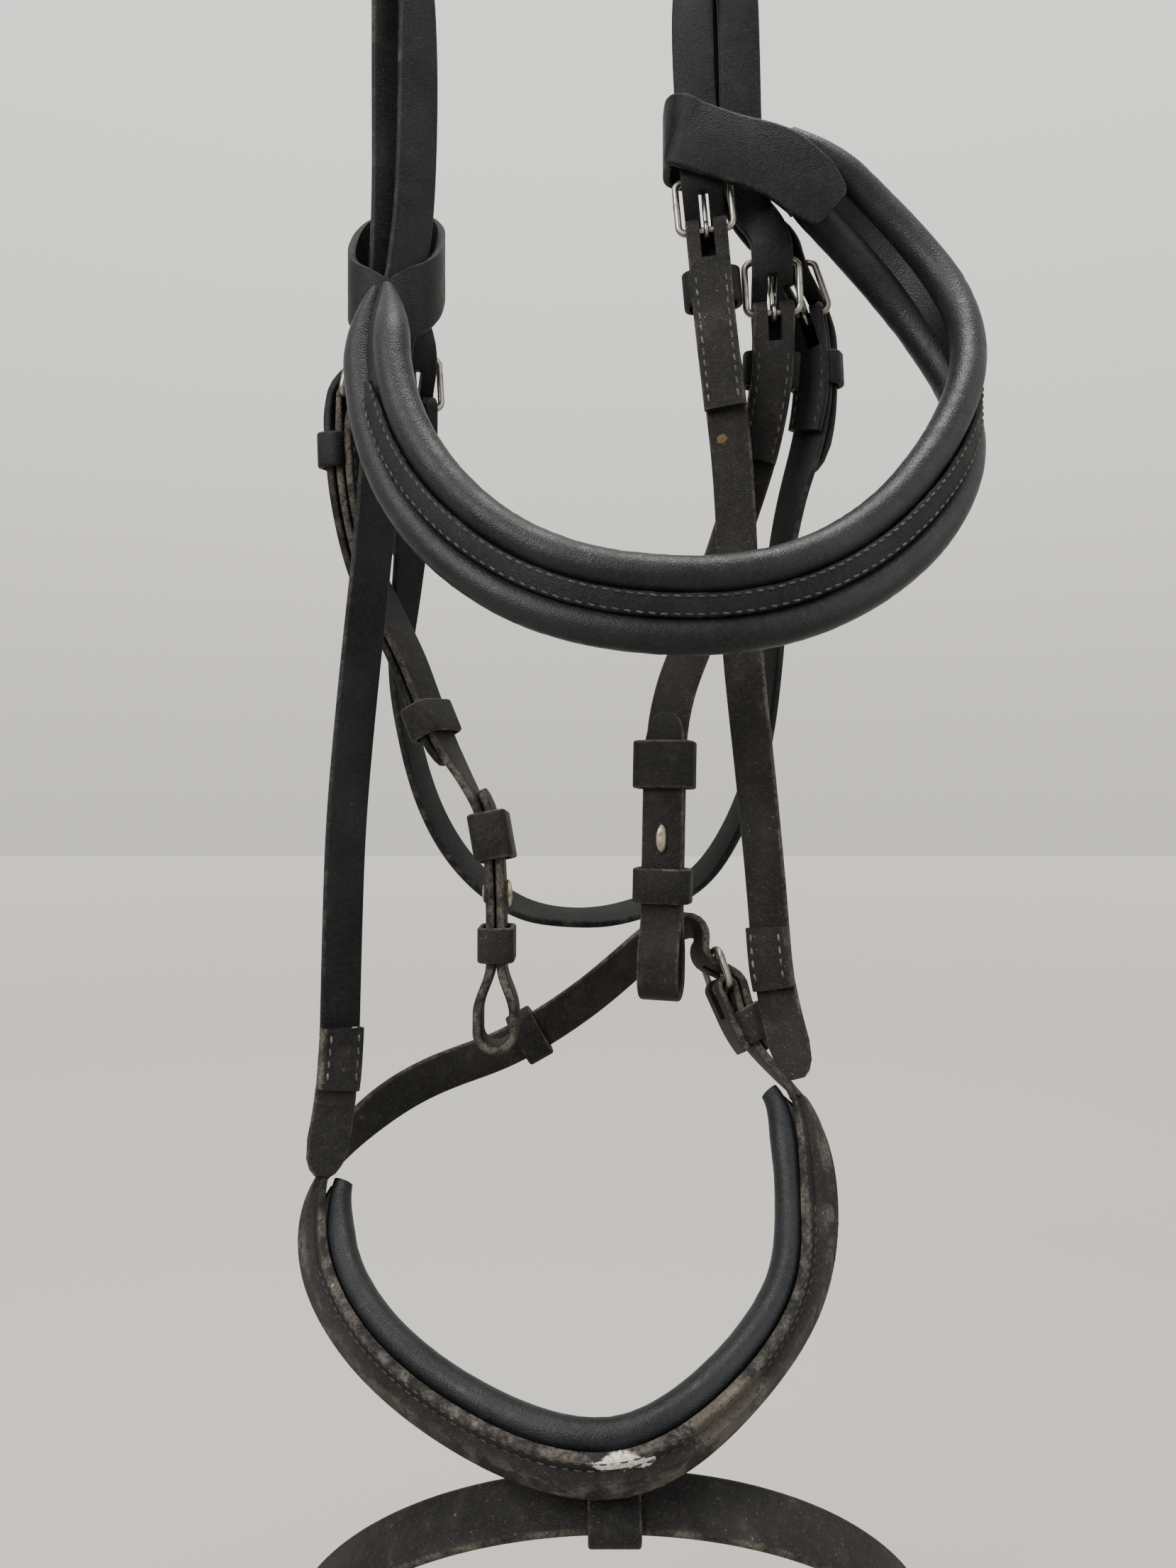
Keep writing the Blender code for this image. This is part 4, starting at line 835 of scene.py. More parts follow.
def chape_slot(buckle):
    """The slot in the fold for the tongue."""
    return slot_prism(buckle, -LOBE_REACH * 2.0, LOBE_REACH * 1.4, TONGUE_SLOT_WIDTH, LOBE_REACH * 2)


def billet_slot(buckle):
    """The punched hole that the tongue passes through."""
    return slot_prism(buckle, buckle.length * 0.08, buckle.length * 0.72, BILLET_SLOT_WIDTH, LOBE_REACH * 3)


def punched_holes(buckle, first, count):
    """Round holes along the billet; first counts pitches from the bar, minus is towards the tip."""
    made = []
    for k in range(count):
        ahead = (first + k) * HOLE_PITCH
        axes = buckle.spine.frame(buckle.bar + buckle.side * ahead)[1:]
        made.append(round_prism(buckle.billet_station(ahead)[0], *axes, HOLE_RADIUS, STRAP_THICKNESS))
    return made


def arch_rows(radius, depth):
    """The crown's half circle as knots, from the near side to the off side."""
    knots = []
    for angle in (72, 48, 24, 0, -24, -48, -72):
        turn = math.radians(angle)
        point = Vector((radius * math.sin(turn), depth, -CROWN_RADIUS + radius * math.cos(turn)))
        knots.append((point, Vector((math.sin(turn), 0, math.cos(turn)))))
    return knots


# Routes: across in half spreads, depth in layers, drop in hang lengths, face and pitch in degrees
NOSE_NEAR_SHARES = [
    (1.332, 0.0, 0.768, 150), (1.305, 0.0, 0.735, 150), (1.25, 0.0, 0.678, 152), (1.16, 0.0, 0.59, 155),
    (1.11, 0.0, 0.49, 158), (1.06, 0.0, 0.44, 165), (0.998, 0.0, 0.394, 172), (0.962, 0.0, 0.356, 172),
    (0.926, 0.0, 0.318, 172), (0.892, 0.0, 0.282, 172), (0.866, 0.0, 0.248, 176), (0.85, 0.0, 0.205, 172),
    (0.866, 0.0, 0.16, 140), (0.93, 0.0, 0.112, 102)]
NOSE_OFF_SHARES = [
    (-0.936, 0.0, 0.104, -96), (-0.91, -0.1, 0.144, -112), (-0.872, -0.25, 0.188, -138),
    (-0.866, -0.3, 0.254, -150), (-0.888, -0.3, 0.32, -150), (-0.94, -0.35, 0.364, -148),
    (-1.02, -0.4, 0.41, -145), (-1.08, -0.45, 0.46, -145), (-1.13, -0.45, 0.524, -145),
    (-1.228, -0.4, 0.615, -145), (-1.308, -0.3, 0.7, -145), (-1.34, -0.15, 0.766, -145),
    (-1.362, 0.0, 0.83, -145)]
CHEEK_NEAR_SHARES = [
    (0.66, 0.2, 0.816, 165), (0.668, 0.2, 0.772, 165), (0.676, 0.2, 0.728, 165), (0.684, 0.2, 0.684, 165),
    (0.696, 0.3, 0.648, 166), (0.76, 0.6, 0.618, 168), (0.87, 0.95, 0.59, 172), (1.03, 1.3, 0.548, 175),
    (1.17, 1.45, 0.506, 178), (1.29, 1.3, 0.468, 178), (1.365, 0.95, 0.428, 178),
    (1.378, 0.75, 0.398, 178), (1.375, 0.65, 0.372, 178), (1.355, 0.55, 0.345, 178),
    (1.28, 0.42, 0.326, 178), (1.19, 0.28, 0.304, 179), (1.165, 0.2, 0.276, 180),
    (1.155, 0.14, 0.248, 180), (1.146, 0.1, 0.215, 180), (1.13, 0.05, 0.18, 172),
    (1.085, -0.2, 0.142, 138), (1.035, -0.5, 0.106, 102)]
CHEEK_OFF_SHARES = [
    (-1.03, -0.5, 0.104, -96), (-1.05, -0.2, 0.144, -112), (-1.052, 0.15, 0.188, -138),
    (-1.046, 0.25, 0.254, -150), (-1.052, 0.3, 0.32, -148), (-1.085, 0.34, 0.362, -138),
    (-1.13, 0.42, 0.377, -127), (-1.205, 0.55, 0.392, -117), (-1.275, 0.66, 0.412, -111),
    (-1.325, 0.74, 0.434, -109), (-1.345, 0.8, 0.47, -108), (-1.305, 1.0, 0.506, -110),
    (-1.22, 1.2, 0.54, -115), (-1.1, 1.3, 0.568, -120), (-0.95, 1.2, 0.598, -121),
    (-0.83, 0.98, 0.628, -119), (-0.7, 0.72, 0.658, -112), (-0.57, 0.47, 0.68, -102),
    (-0.475, 0.27, 0.7, -95), (-0.424, 0.13, 0.726, -90), (-0.41, 0.06, 0.77, -90),
    (-0.412, 0.04, 0.81, -90), (-0.414, 0.02, 0.848, -90)]
THROAT_SHARES_OFF_TOP = [
    (-1.005, 1.36, 0.362, -152), (-1.015, 1.14, 0.32, -150), (-1.01, 0.92, 0.254, -150),
    (-1.02, 0.85, 0.188, -138), (-1.03, 0.75, 0.144, -112), (-1.025, 0.68, 0.104, -96)]
THROAT_SHARES_AROUND = [
    (1.03, 0.68, 0.106, 102), (1.062, 0.68, 0.142, 138), (1.1, 0.64, 0.18, 172), (1.12, 0.6, 0.215, 180),
    (1.135, 0.62, 0.248, 180), (1.16, 0.7, 0.28, 180), (1.18, 0.7, 0.309, 178), (1.35, 1.18, 0.326, 170),
    (1.52, 1.6, 0.343, 160), (1.615, 1.83, 0.361, 154), (1.67, 1.97, 0.384, 152),
    (1.696, 2.0, 0.416, 150), (1.66, 2.0, 0.45, 138), (1.545, 2.1, 0.492, 126), (1.46, 2.4, 0.544, 118),
    (1.43, 2.8, 0.6, 113), (1.37, 3.3, 0.658, 110, -8), (1.21, 3.7, 0.708, 114, -22),
    (0.94, 4.0, 0.748, 130, -45), (0.44, 4.1, 0.77, 165, -65), (0.05, 4.1, 0.773, 180, -72),
    (-0.31, 4.1, 0.765, -162, -64), (-0.67, 3.9, 0.735, -130, -42), (-0.91, 3.6, 0.692, -118, -18),
    (-1.05, 3.3, 0.636, -113, -6), (-1.08, 3.0, 0.596, -115), (-1.02, 2.55, 0.548, -130),
    (-0.965, 2.28, 0.496, -150), (-0.94, 2.08, 0.456, -156), (-0.94, 1.94, 0.424, -157),
    (-0.955, 1.78, 0.398, -156), (-0.985, 1.54, 0.376, -153), (-1.005, 1.36, 0.3625, -152)]
BAND_SHARES = [
    (0.34, -7.7, 1.026, 0, -34), (0.66, -7.3, 1.018, 11, -32), (0.98, -6.2, 1.004, 25, -30),
    (1.29, -4.7, 0.986, 34, -25), (1.5, -3.4, 0.962, 36, -18), (1.57, -2.2, 0.93, 38, -12),
    (1.58, -1.2, 0.9, 42, -4), (1.515, -0.3, 0.874, 58), (1.375, 0.42, 0.862, 80),
    (1.2, 0.78, 0.842, 100), (1.105, 1.0, 0.818, 105), (1.05, 1.22, 0.799, 109, 8),
    (0.985, 1.48, 0.782, 117, 28), (0.885, 1.84, 0.772, 134, 52), (0.725, 2.3, 0.776, 154, 50),
    (0.49, 2.82, 0.799, 167, 30), (0.16, 3.1, 0.828, 175, 10), (-0.23, 3.12, 0.853, -178),
    (-0.48, 2.94, 0.864, -171), (-0.74, 2.52, 0.871, -162), (-1.0, 1.88, 0.881, -150),
    (-1.2, 1.1, 0.893, -132), (-1.335, 0.35, 0.904, -102), (-1.425, -0.5, 0.918, -68),
    (-1.48, -1.4, 0.938, -44, -8), (-1.4, -2.6, 0.966, -36, -16), (-1.13, -4.1, 0.991, -32, -23),
    (-0.79, -5.45, 1.007, -26, -29), (-0.41, -6.6, 1.018, -14, -32), (-0.04, -7.4, 1.025, -6, -34),
    (0.34, -7.7, 1.026, 0, -34)]
NEAR_LOOP_END_SHARES = [
    (1.334, 0.0, 0.7695, 150), (1.352, -0.1, 0.795, 152), (1.392, -0.32, 0.82, 154),
    (1.44, -0.66, 0.842, 158), (1.48, -1.0, 0.86, 162)]
OFF_LOOP_END_SHARES = [
    (-1.363, 0.0, 0.8325, -145), (-1.37, -0.12, 0.858, -150), (-1.384, -0.4, 0.882, -156),
    (-1.402, -0.9, 0.902, -162), (-1.42, -1.32, 0.918, -166)]
BROWBAND_SHARES = [
    (-1.03, -1.78, 0.384, -28, 8), (-1.06, -2.6, 0.43, -50, 2), (-0.888, -3.75, 0.496, -38, -4),
    (-0.486, -5.0, 0.547, -18, -6), (0.016, -5.9, 0.578, -4, -8), (0.66, -6.25, 0.588, 0, -8),
    (1.25, -5.9, 0.582, 6, -6), (1.88, -4.6, 0.548, 16, 0), (2.34, -2.9, 0.49, 45, 4),
    (2.5, -1.2, 0.432, 88, 0), (2.31, 0.0, 0.374, 140, 0), (1.93, 0.1, 0.33, 166, 0),
    (1.64, -0.22, 0.305, 176, 0), (1.38, -0.3, 0.284, 178, 0)]


def knots_of(rows):
    return [place(row) for row in rows]


def make_spines():
    """All the lines that the straps follow."""
    slip_radius = CROWN_RADIUS + STRAP_THICKNESS / 2
    head_radius = slip_radius + STRAP_THICKNESS + SEAT_GAP
    half = STRAP_WIDTH / 2
    nose = knots_of(NOSE_NEAR_SHARES) + arch_rows(slip_radius, 0.0) + knots_of(NOSE_OFF_SHARES)
    cheek = knots_of(CHEEK_NEAR_SHARES) + arch_rows(head_radius, -half) + knots_of(CHEEK_OFF_SHARES)
    back_arch = list(reversed(arch_rows(head_radius, half - SEAT_GAP)))
    throat = knots_of(THROAT_SHARES_OFF_TOP) + back_arch + knots_of(THROAT_SHARES_AROUND)
    return {
        "nose": Spine(nose), "cheek": Spine(cheek), "throat": Spine(throat),
        "band": Spine(knots_of(BAND_SHARES), WIDE_SMOOTH_PASSES),
        "near_end": Spine(knots_of(NEAR_LOOP_END_SHARES)),
        "off_end": Spine(knots_of(OFF_LOOP_END_SHARES)),
        "brow": Spine(knots_of(BROWBAND_SHARES), WIDE_SMOOTH_PASSES)}


# How far down the hanging length each buckle's bar and the off runner sit
NOSE_BAR_SHARE = 0.334
NEAR_CHEEK_BAR_SHARE = 0.380
OFF_CHEEK_BAR_SHARE = 0.434
NEAR_THROAT_BAR_SHARE = 0.373
OFF_THROAT_BAR_SHARE = 0.432
OFF_RUNNER_SHARE = 0.638
# Knots of the throat route over the poll, and of the band route: sewn ends, chin buckle, chin runner
CROWN_KNOT = 9
NEAR_SEWN_KNOT = 7
CHIN_BAR_KNOT = 10
CHIN_RUNNER_KNOT = 17
OFF_SEWN_KNOT = 23
# The near browband loop's line, and the off loop's place, size and slope
NEAR_LOOP_SHARES = [
    (1.7, -0.98, 0.328), (1.58, -1.03, 0.318), (1.46, -1.04, 0.308), (1.36, -1.0, 0.3),
    (1.24, -0.94, 0.295), (1.1, -0.88, 0.291), (0.84, -0.86, 0.282), (0.752, -0.78, 0.278),
    (0.702, -0.42, 0.275), (0.695, 0.2, 0.274), (0.702, 0.85, 0.274), (0.752, 1.1, 0.274),
    (0.84, 1.17, 0.275), (1.2, 1.17, 0.276), (1.33, 1.12, 0.277), (1.42, 0.94, 0.279),
    (1.49, 0.72, 0.285), (1.56, 0.57, 0.294), (1.65, 0.54, 0.305)]
OFF_LOOP_CENTRE_SHARES = (-1.022, 0.58, 0.350)
OFF_LOOP_HALF_WIDTH = 0.0126
OFF_LOOP_HALF_DEPTH = 0.0152
OFF_LOOP_HEIGHT = 0.022
# How far its back stands above the centre, its front below its back, and the front's middle lower still
OFF_LOOP_RAISE = 0.0142
OFF_LOOP_TILT = 0.0330
OFF_LOOP_NECK = 0.0035
# How square its outline is: one is an oval
OFF_LOOP_SQUARE = 0.80
FLASH_FRONT_SHARES = (0.33, -6.6, 1.0500)
# Height at which the crown's halves part, and how gradually
CROWN_JOIN_Z = -0.062
CROWN_JOIN_RUN = 0.016
# Seams: margin of a chape's rows, their start and end along it, and the sewn folds' own ends
SEAM_MARGIN = 0.0019
SEAM_START_SHARE = 0.26
SEAM_END_SHARE = 0.97
FOLD_SEAM_START = 0.0012
FOLD_SEAM_STOP = 0.001
# Rows and grooves on the nosepiece, how deep they are sunk, and how far they stop from its ends and join
NOSE_SEAM_SHARE = 0.58
NOSE_EDGE_SEAM_SHARE = 0.90
NOSE_SEAM_SUNK = 0.0002
NOSE_EDGE_SEAM_SUNK = 0.0003
NOSE_SEAM_STOP = 0.034
NOSE_SEAM_BREAK = 0.001
# The browband strip's ends from the band's own, and its seams
STRIP_INSET = BROWBAND_WIDTH * 1.3
STRIP_SEAM_STOP = 0.004
STRIP_SEAM_SHARE = 0.36


def unzip(stations):
    """Stations that carry a share each, as a list of stations and a list of shares."""
    return [entry[0] for entry in stations], [entry[1] for entry in stations]


def drop_distance(spine, share, rising):
    return spine.nearest(-share * HANG_LENGTH, rising)


def crown_edges(places, toward):
    """Edge rounding of a crown half: the edge that meets the other half stays square over the poll."""
    made = []
    for centre, across in places:
        ease = 1 - min(max((centre.z - CROWN_JOIN_Z) / CROWN_JOIN_RUN, 0), 1)
        made.append((ease, 1.0) if across.y * toward > 0 else (1.0, ease))
    return made


def headpiece(buckles, leather):
    """The crown: a cheek strap and a throat strap side by side, joined over the poll, with four billets."""
    near_cheek, off_cheek, near_throat, off_throat = buckles
    middle = near_cheek.spine.length / 2
    run = near_cheek.billet_stations(CHEEK_BILLET, middle, STRAP_WIDTH)
    run += list(reversed(off_cheek.billet_stations(FLEX_BELOW - FLEX_GAP, middle, STRAP_WIDTH, True)))[1:]
    places, wide = unzip(run)
    made = strap("headpiece", places, leather, wide, square=crown_edges(places, 1))
    crown = near_throat.spine
    middle = crown.knot(CROWN_KNOT)
    run = near_throat.billet_stations(THROAT_BILLET, middle, THROAT_WIDTH)
    run += [(crown.at(distance), 1.0) for distance in reversed(steps_between(STATION_STEP, middle))][1:]
    run += list(reversed(off_throat.billet_stations(THROAT_BILLET, crown.length, THROAT_WIDTH)))[1:]
    places, wide = unzip(run)
    other = strap("headpiece_throat_half", places, leather, wide, square=crown_edges(places, -1))
    del made_pieces["headpiece_throat_half"]
    apply_boolean(made, other, "UNION")
    for buckle, holes in ((near_cheek, NEAR_CHEEK_HOLES), (off_cheek, OFF_CHEEK_HOLES),
                          (near_throat, THROAT_HOLES), (off_throat, THROAT_HOLES)):
        cut(made, [billet_slot(buckle)])
        cut(made, punched_holes(buckle, *holes))


def billet(name, buckle, tip_length, start, surface, holes=(0, 0)):
    """A strap end that comes through the buckle, with its punched holes."""
    stations, shares = unzip(buckle.billet_stations(tip_length, start, STRAP_WIDTH))
    made = strap(name, stations, surface, shares)
    cut(made, [billet_slot(buckle)] + punched_holes(buckle, *holes))


def main_stations(buckle, end):
    """The strap's own layer from below the bar to end, finely stepped beside the fold."""
    below = buckle.bar - buckle.side * buckle.chape
    marks = steps_between(buckle.main_start(), below, STATION_STEP / 2)
    marks += steps_between(below, end)[1:]
    return [(buckle.spine.at(distance), 1.0) for distance in marks]


def chape_strap(buckle, end):
    """Stations from the chape's cut end round the bar and down the strap to end, with thickness shares."""
    return buckle.fold_stations() + main_stations(buckle, end)


def chape(name, buckle, leather):
    """The folded top of a strap, down to the line where the hanging strap bends."""
    end = buckle.bar - buckle.side * (FLEX_BELOW - FLEX_GAP)
    places, thick = unzip(chape_strap(buckle, end))
    made = strap(name, places, leather, None, thick, buckle.width)
    cut(made, [chape_slot(buckle)])


def buckle_set(prefix, buckle, steel, leather, drop=KEEPER_DROP):
    """The frame, tongue and fixed keeper of a buckle; the keeper is sewn in between the chape's layers."""
    buckle_frame(prefix + "_buckle_frame", buckle, steel)
    buckle_tongue(prefix + "_buckle_tongue", buckle, steel)
    keeper(prefix + "_keeper", buckle.spine, buckle.bar - buckle.side * drop, buckle.width,
           -LAYER / 2 + KEEPER_GAP + KEEPER_WALL / 2, TWO_LAYERS, KEEPER_HEIGHT, leather)


def bit_end(spine, start, rising, tab_share):
    """Stations of the tab and the bit loop, from the tab's tip to where the two layers part."""
    radius = LAYER / 2 + BIT_LOOP_BULGE
    bottom = radius + STRAP_THICKNESS / 2
    profile = []
    for k in range(15):
        share = 0.1 + 0.9 * k / 14
        fall = min(max((share - 0.25) / 0.75, 0), 1)
        bulge = BIT_LOOP_BULGE * (0.5 + 0.5 * math.cos(math.pi * fall))
        profile.append((bottom + share * BIT_LOOP_LENGTH, bulge))
    tip = tab_share * TAB_LENGTH
    top = bottom + BIT_LOOP_LENGTH * 1.15
    rows = [(tip - back * STRAP_WIDTH, -LAYER, wide) for back, wide in TIP_SHARES]
    rows += [(up, -LAYER, 1.0) for up in steps_between(tip - TIP_BACK * STRAP_WIDTH, top)[1:]]
    rows += [(up, -LAYER - bulge, 1.0) for up, bulge in reversed(profile)]
    stations = [(spine.at(start + rising * up, offset), wide) for up, offset, wide in rows]
    point, along, across, outward = spine.frame(start + rising * bottom)
    middle = point + outward * (-LAYER / 2)
    for k in range(25):
        angle = math.pi * k / 24
        turned = middle - outward * radius * math.cos(angle) - along * rising * radius * math.sin(angle)
        stations.append(((turned, across), 1.0))
    for up, bulge in profile:
        stations.append((spine.at(start + rising * up, bulge), 1.0))
    return stations, bottom + BIT_LOOP_LENGTH


def hook_stud(name, middle, along, across, outward, brass):
    """A stud through both layers: a long slim head in front, a stem and a round head behind."""
    reach = LAYER / 2 + STRAP_THICKNESS / 2 + RUNNING_GAP
    head = STUD_HEAD_THICKNESS
    front = ((-reach - head, 0.45), (-reach - head * 0.8, 0.82), (-reach - head * 0.3, 1.0), (-reach, 0.92))
    back = ((reach, 0.92), (reach + head * 0.3, 1.0), (reach + head * 0.6, 0.8), (reach + head * 0.7, 0.45))
    rings = []
    for outline, slim, long in ((front, STUD_HEAD_SLIM, STUD_HEAD_LONG),
                                (back, STUD_HEAD_RADIUS, STUD_HEAD_RADIUS)):
        for depth, share in outline:
            rings.append([middle + outward * depth + across * (slim * share * math.cos(math.pi * m / 14))
                          + along * (long * share * math.sin(math.pi * m / 14)) for m in range(28)])
        if outline == front:
            rings.append(round_ring(middle - outward * reach, across, along, STUD_STEM_RADIUS, 28))
            rings.append(round_ring(middle + outward * reach, across, along, STUD_STEM_RADIUS, 28))
    sweep(name, rings, brass)


def cheekpiece(prefix, spine, buckle, start, rising, ends, leather, brass):
    """The strap from the tab over the bit loop up to the chape, with its stud and keepers."""
    tab, runner, stud, fixed = ends
    stations, top = bit_end(spine, start, rising, tab)
    first = start + rising * (top + STRAP_WIDTH / 2)
    flex = buckle.bar - buckle.side * (FLEX_BELOW + FLEX_GAP)
    stations += [(spine.at(distance), 1.0) for distance in steps_between(first, flex)]
    places, wide = unzip(stations)
    made = strap(prefix + "_cheekpiece", places, leather, wide)
    chape(prefix + "_cheek_chape", buckle, leather)
    point, along, across, outward = spine.frame(start + rising * stud * TAB_LENGTH)
    middle = point - outward * LAYER / 2
    cut(made, [round_prism(middle, along, across, outward, STUD_STEM_RADIUS + RUNNING_GAP, LAYER * 1.5)])
    hook_stud(prefix + "_hook_stud", middle, along, across, outward, brass)
    for name, share, height, gap in (("_bit_runner", runner, RUNNER_HEIGHT, 1.5 * KEEPER_GAP),
                                     ("_bit_keeper", fixed, KEEPER_HEIGHT, KEEPER_GAP)):
        keeper(prefix + name, spine, start + rising * share * TAB_LENGTH, STRAP_WIDTH,
               -TWO_LAYERS, STRAP_THICKNESS / 2, height, leather, gap)


def roll_section(half_spacing, radius, web_half, sides=24):
    """A section of two rolls joined by a web, width first."""
    opening = math.asin(web_half / radius)
    made = []
    for centre, first in ((half_spacing, -math.pi + opening), (-half_spacing, opening)):
        for k in range(sides + 1):
            angle = first + 2 * (math.pi - opening) * k / sides
            made.append((centre + radius * math.cos(angle), radius * math.sin(angle)))
    return made


def padded(name, stations, section, offset, surface, wide, thick, crease=0.0):
    """A stuffed piece with its own section along stations, finely creased by its stitching."""
    rings = []
    half = max(abs(a) for a, b in section)
    deep = max(abs(b) for a, b in section)
    for i, (centre, across, outward) in enumerate(station_frames(stations)):
        ring = []
        for a, b in section:
            pull = crease * noise.noise(Vector((i * 0.9, a * 180, 3.0 if b > 0 else 7.0)))
            pull += crease * 0.8 * noise.noise(Vector((i * 0.13, a * 90, 11.0)))
            lift = offset + b * thick[i] * (1 + pull)
            ring.append(centre + across * (a * wide[i]) * (1 + pull) + outward * lift)
        rings.append(ring)
    cross = [(a / half, b / deep) for a, b in section]
    return sweep(name, rings, surface, False, cross)


def end_shares(count, least, taper):
    """Shares that grow from least to one over the first stations and fall again at the last."""
    made = []
    for i in range(count):
        near_end = min(i, count - 1 - i) / (taper * FINER)
        made.append(least + (1 - least) * math.sin(min(near_end, 1) * math.pi / 2))
    return made


def slim_start(count, least, slim):
    """End shares that grow from least, but from slim at the start."""
    made = end_shares(count, least, 3)
    slimmer = end_shares(count, slim, 3.2)
    return [min(slimmer[i], made[i]) if i < count / 2 else made[i] for i in range(count)]


def sewn_end(name, spine, leather):
    """A strap end folded back and sewn double, its long outer layer lying over the noseband strap."""
    double = 1 + LAYER / STRAP_THICKNESS
    stations = []
    for distance in steps_between(0.0, SEWN_FOLD_LENGTH):
        stations.append((spine.at(distance, -LAYER / 2), 1.0, double))
    clear = spine.length - TIP_BACK * STRAP_WIDTH
    for distance in steps_between(SEWN_FOLD_LENGTH + CORNER_EASE, clear)[:-1]:
        stations.append((spine.at(distance), 1.0, 1.0))
    for back, wide in reversed(TIP_SHARES):
        stations.append((spine.at(spine.length - back * STRAP_WIDTH), wide, 1.0))
    places, wide, thick = [list(column) for column in zip(*stations)]
    strap(name, places, leather, wide, thick)


def necked_loop(name, centre, leather):
    """The off loop: an oval of leather round the straps whose front dips to the browband's end."""
    rings = []
    turns = 120
    profile = []
    for wall, side in ((0.0, -0.5), (LOOP_WALL, -0.5), (LOOP_WALL, 0.5), (0.0, 0.5)):
        outer = 0.3 if wall else -0.3
        pair = [(wall - outer * LOOP_WALL * 0.9, side), (wall, side * 0.955)]
        profile += pair if outer * side < 0 else pair[::-1]
    for k in range(turns):
        angle = 2 * math.pi * k / turns
        a = math.copysign(abs(math.cos(angle)) ** OFF_LOOP_SQUARE, math.cos(angle))
        b = math.copysign(abs(math.sin(angle)) ** OFF_LOOP_SQUARE, math.sin(angle))
        front = (1 - b) / 2
        neck = max(1 - abs(a) * 1.6, 0) ** 2 * (b < 0)
        ring = []
        for wall, side in profile:
            wide = OFF_LOOP_HALF_WIDTH + wall
            deep = OFF_LOOP_HALF_DEPTH + wall
            rise = OFF_LOOP_HEIGHT * side + OFF_LOOP_RAISE - OFF_LOOP_TILT * front - OFF_LOOP_NECK * neck
            ring.append(centre + Vector((wide * a, deep * b, rise)))
        rings.append(ring)
    cross = [(2 * side, 2 * wall / LOOP_WALL - 1) for wall, side in profile]
    sweep(name, rings, leather, True, cross)


def browband(lines, leather, soft):
    """The padded browband, its raised strip and the two loops."""
    brow = lines["brow"]
    spacing = BROWBAND_WIDTH / 2 - BROWBAND_ROLL_RADIUS
    section = roll_section(spacing, BROWBAND_ROLL_RADIUS, BROWBAND_WEB / 2, 26)
    marks = steps_between(0.0, brow.length, STATION_STEP * 0.8)
    run = [brow.at(d) for d in marks]
    count = len(run)
    padded("browband_padding", run, section, 0.0, soft, slim_start(count, 0.6, 0.30),
           slim_start(count, 0.7, 0.42), 0.012)
    lift = BROWBAND_WEB / 2 + 2 * SEAT_GAP + BROWBAND_STRIP_THICKNESS / 2
    strip = [brow.at(d, lift) for d in marks if STRIP_INSET < d < brow.length - STRIP_INSET]
    strap("browband_strip", strip, leather, end_shares(len(strip), 0.3, 2), None, BROWBAND_STRIP_WIDTH,
          BROWBAND_STRIP_THICKNESS)
    up = Vector((0, 0, 1))
    loop_points = [place((*row, 0))[0] for row in NEAR_LOOP_SHARES]
    loop = Spine([(point, facing(0)) for point in loop_points])
    stations = [(loop.blend(d)[0], up) for d in steps_between(0.0, loop.length, FINE_STEP)]
    shares = [0.55 + 0.45 * math.sqrt(min(1.0, i / 7)) for i in range(len(stations))]
    strap("near_browband_loop", stations, leather, shares, None, LOOP_HEIGHT, LOOP_WALL)
    necked_loop("off_browband_loop", place((*OFF_LOOP_CENTRE_SHARES, 0))[0], leather)


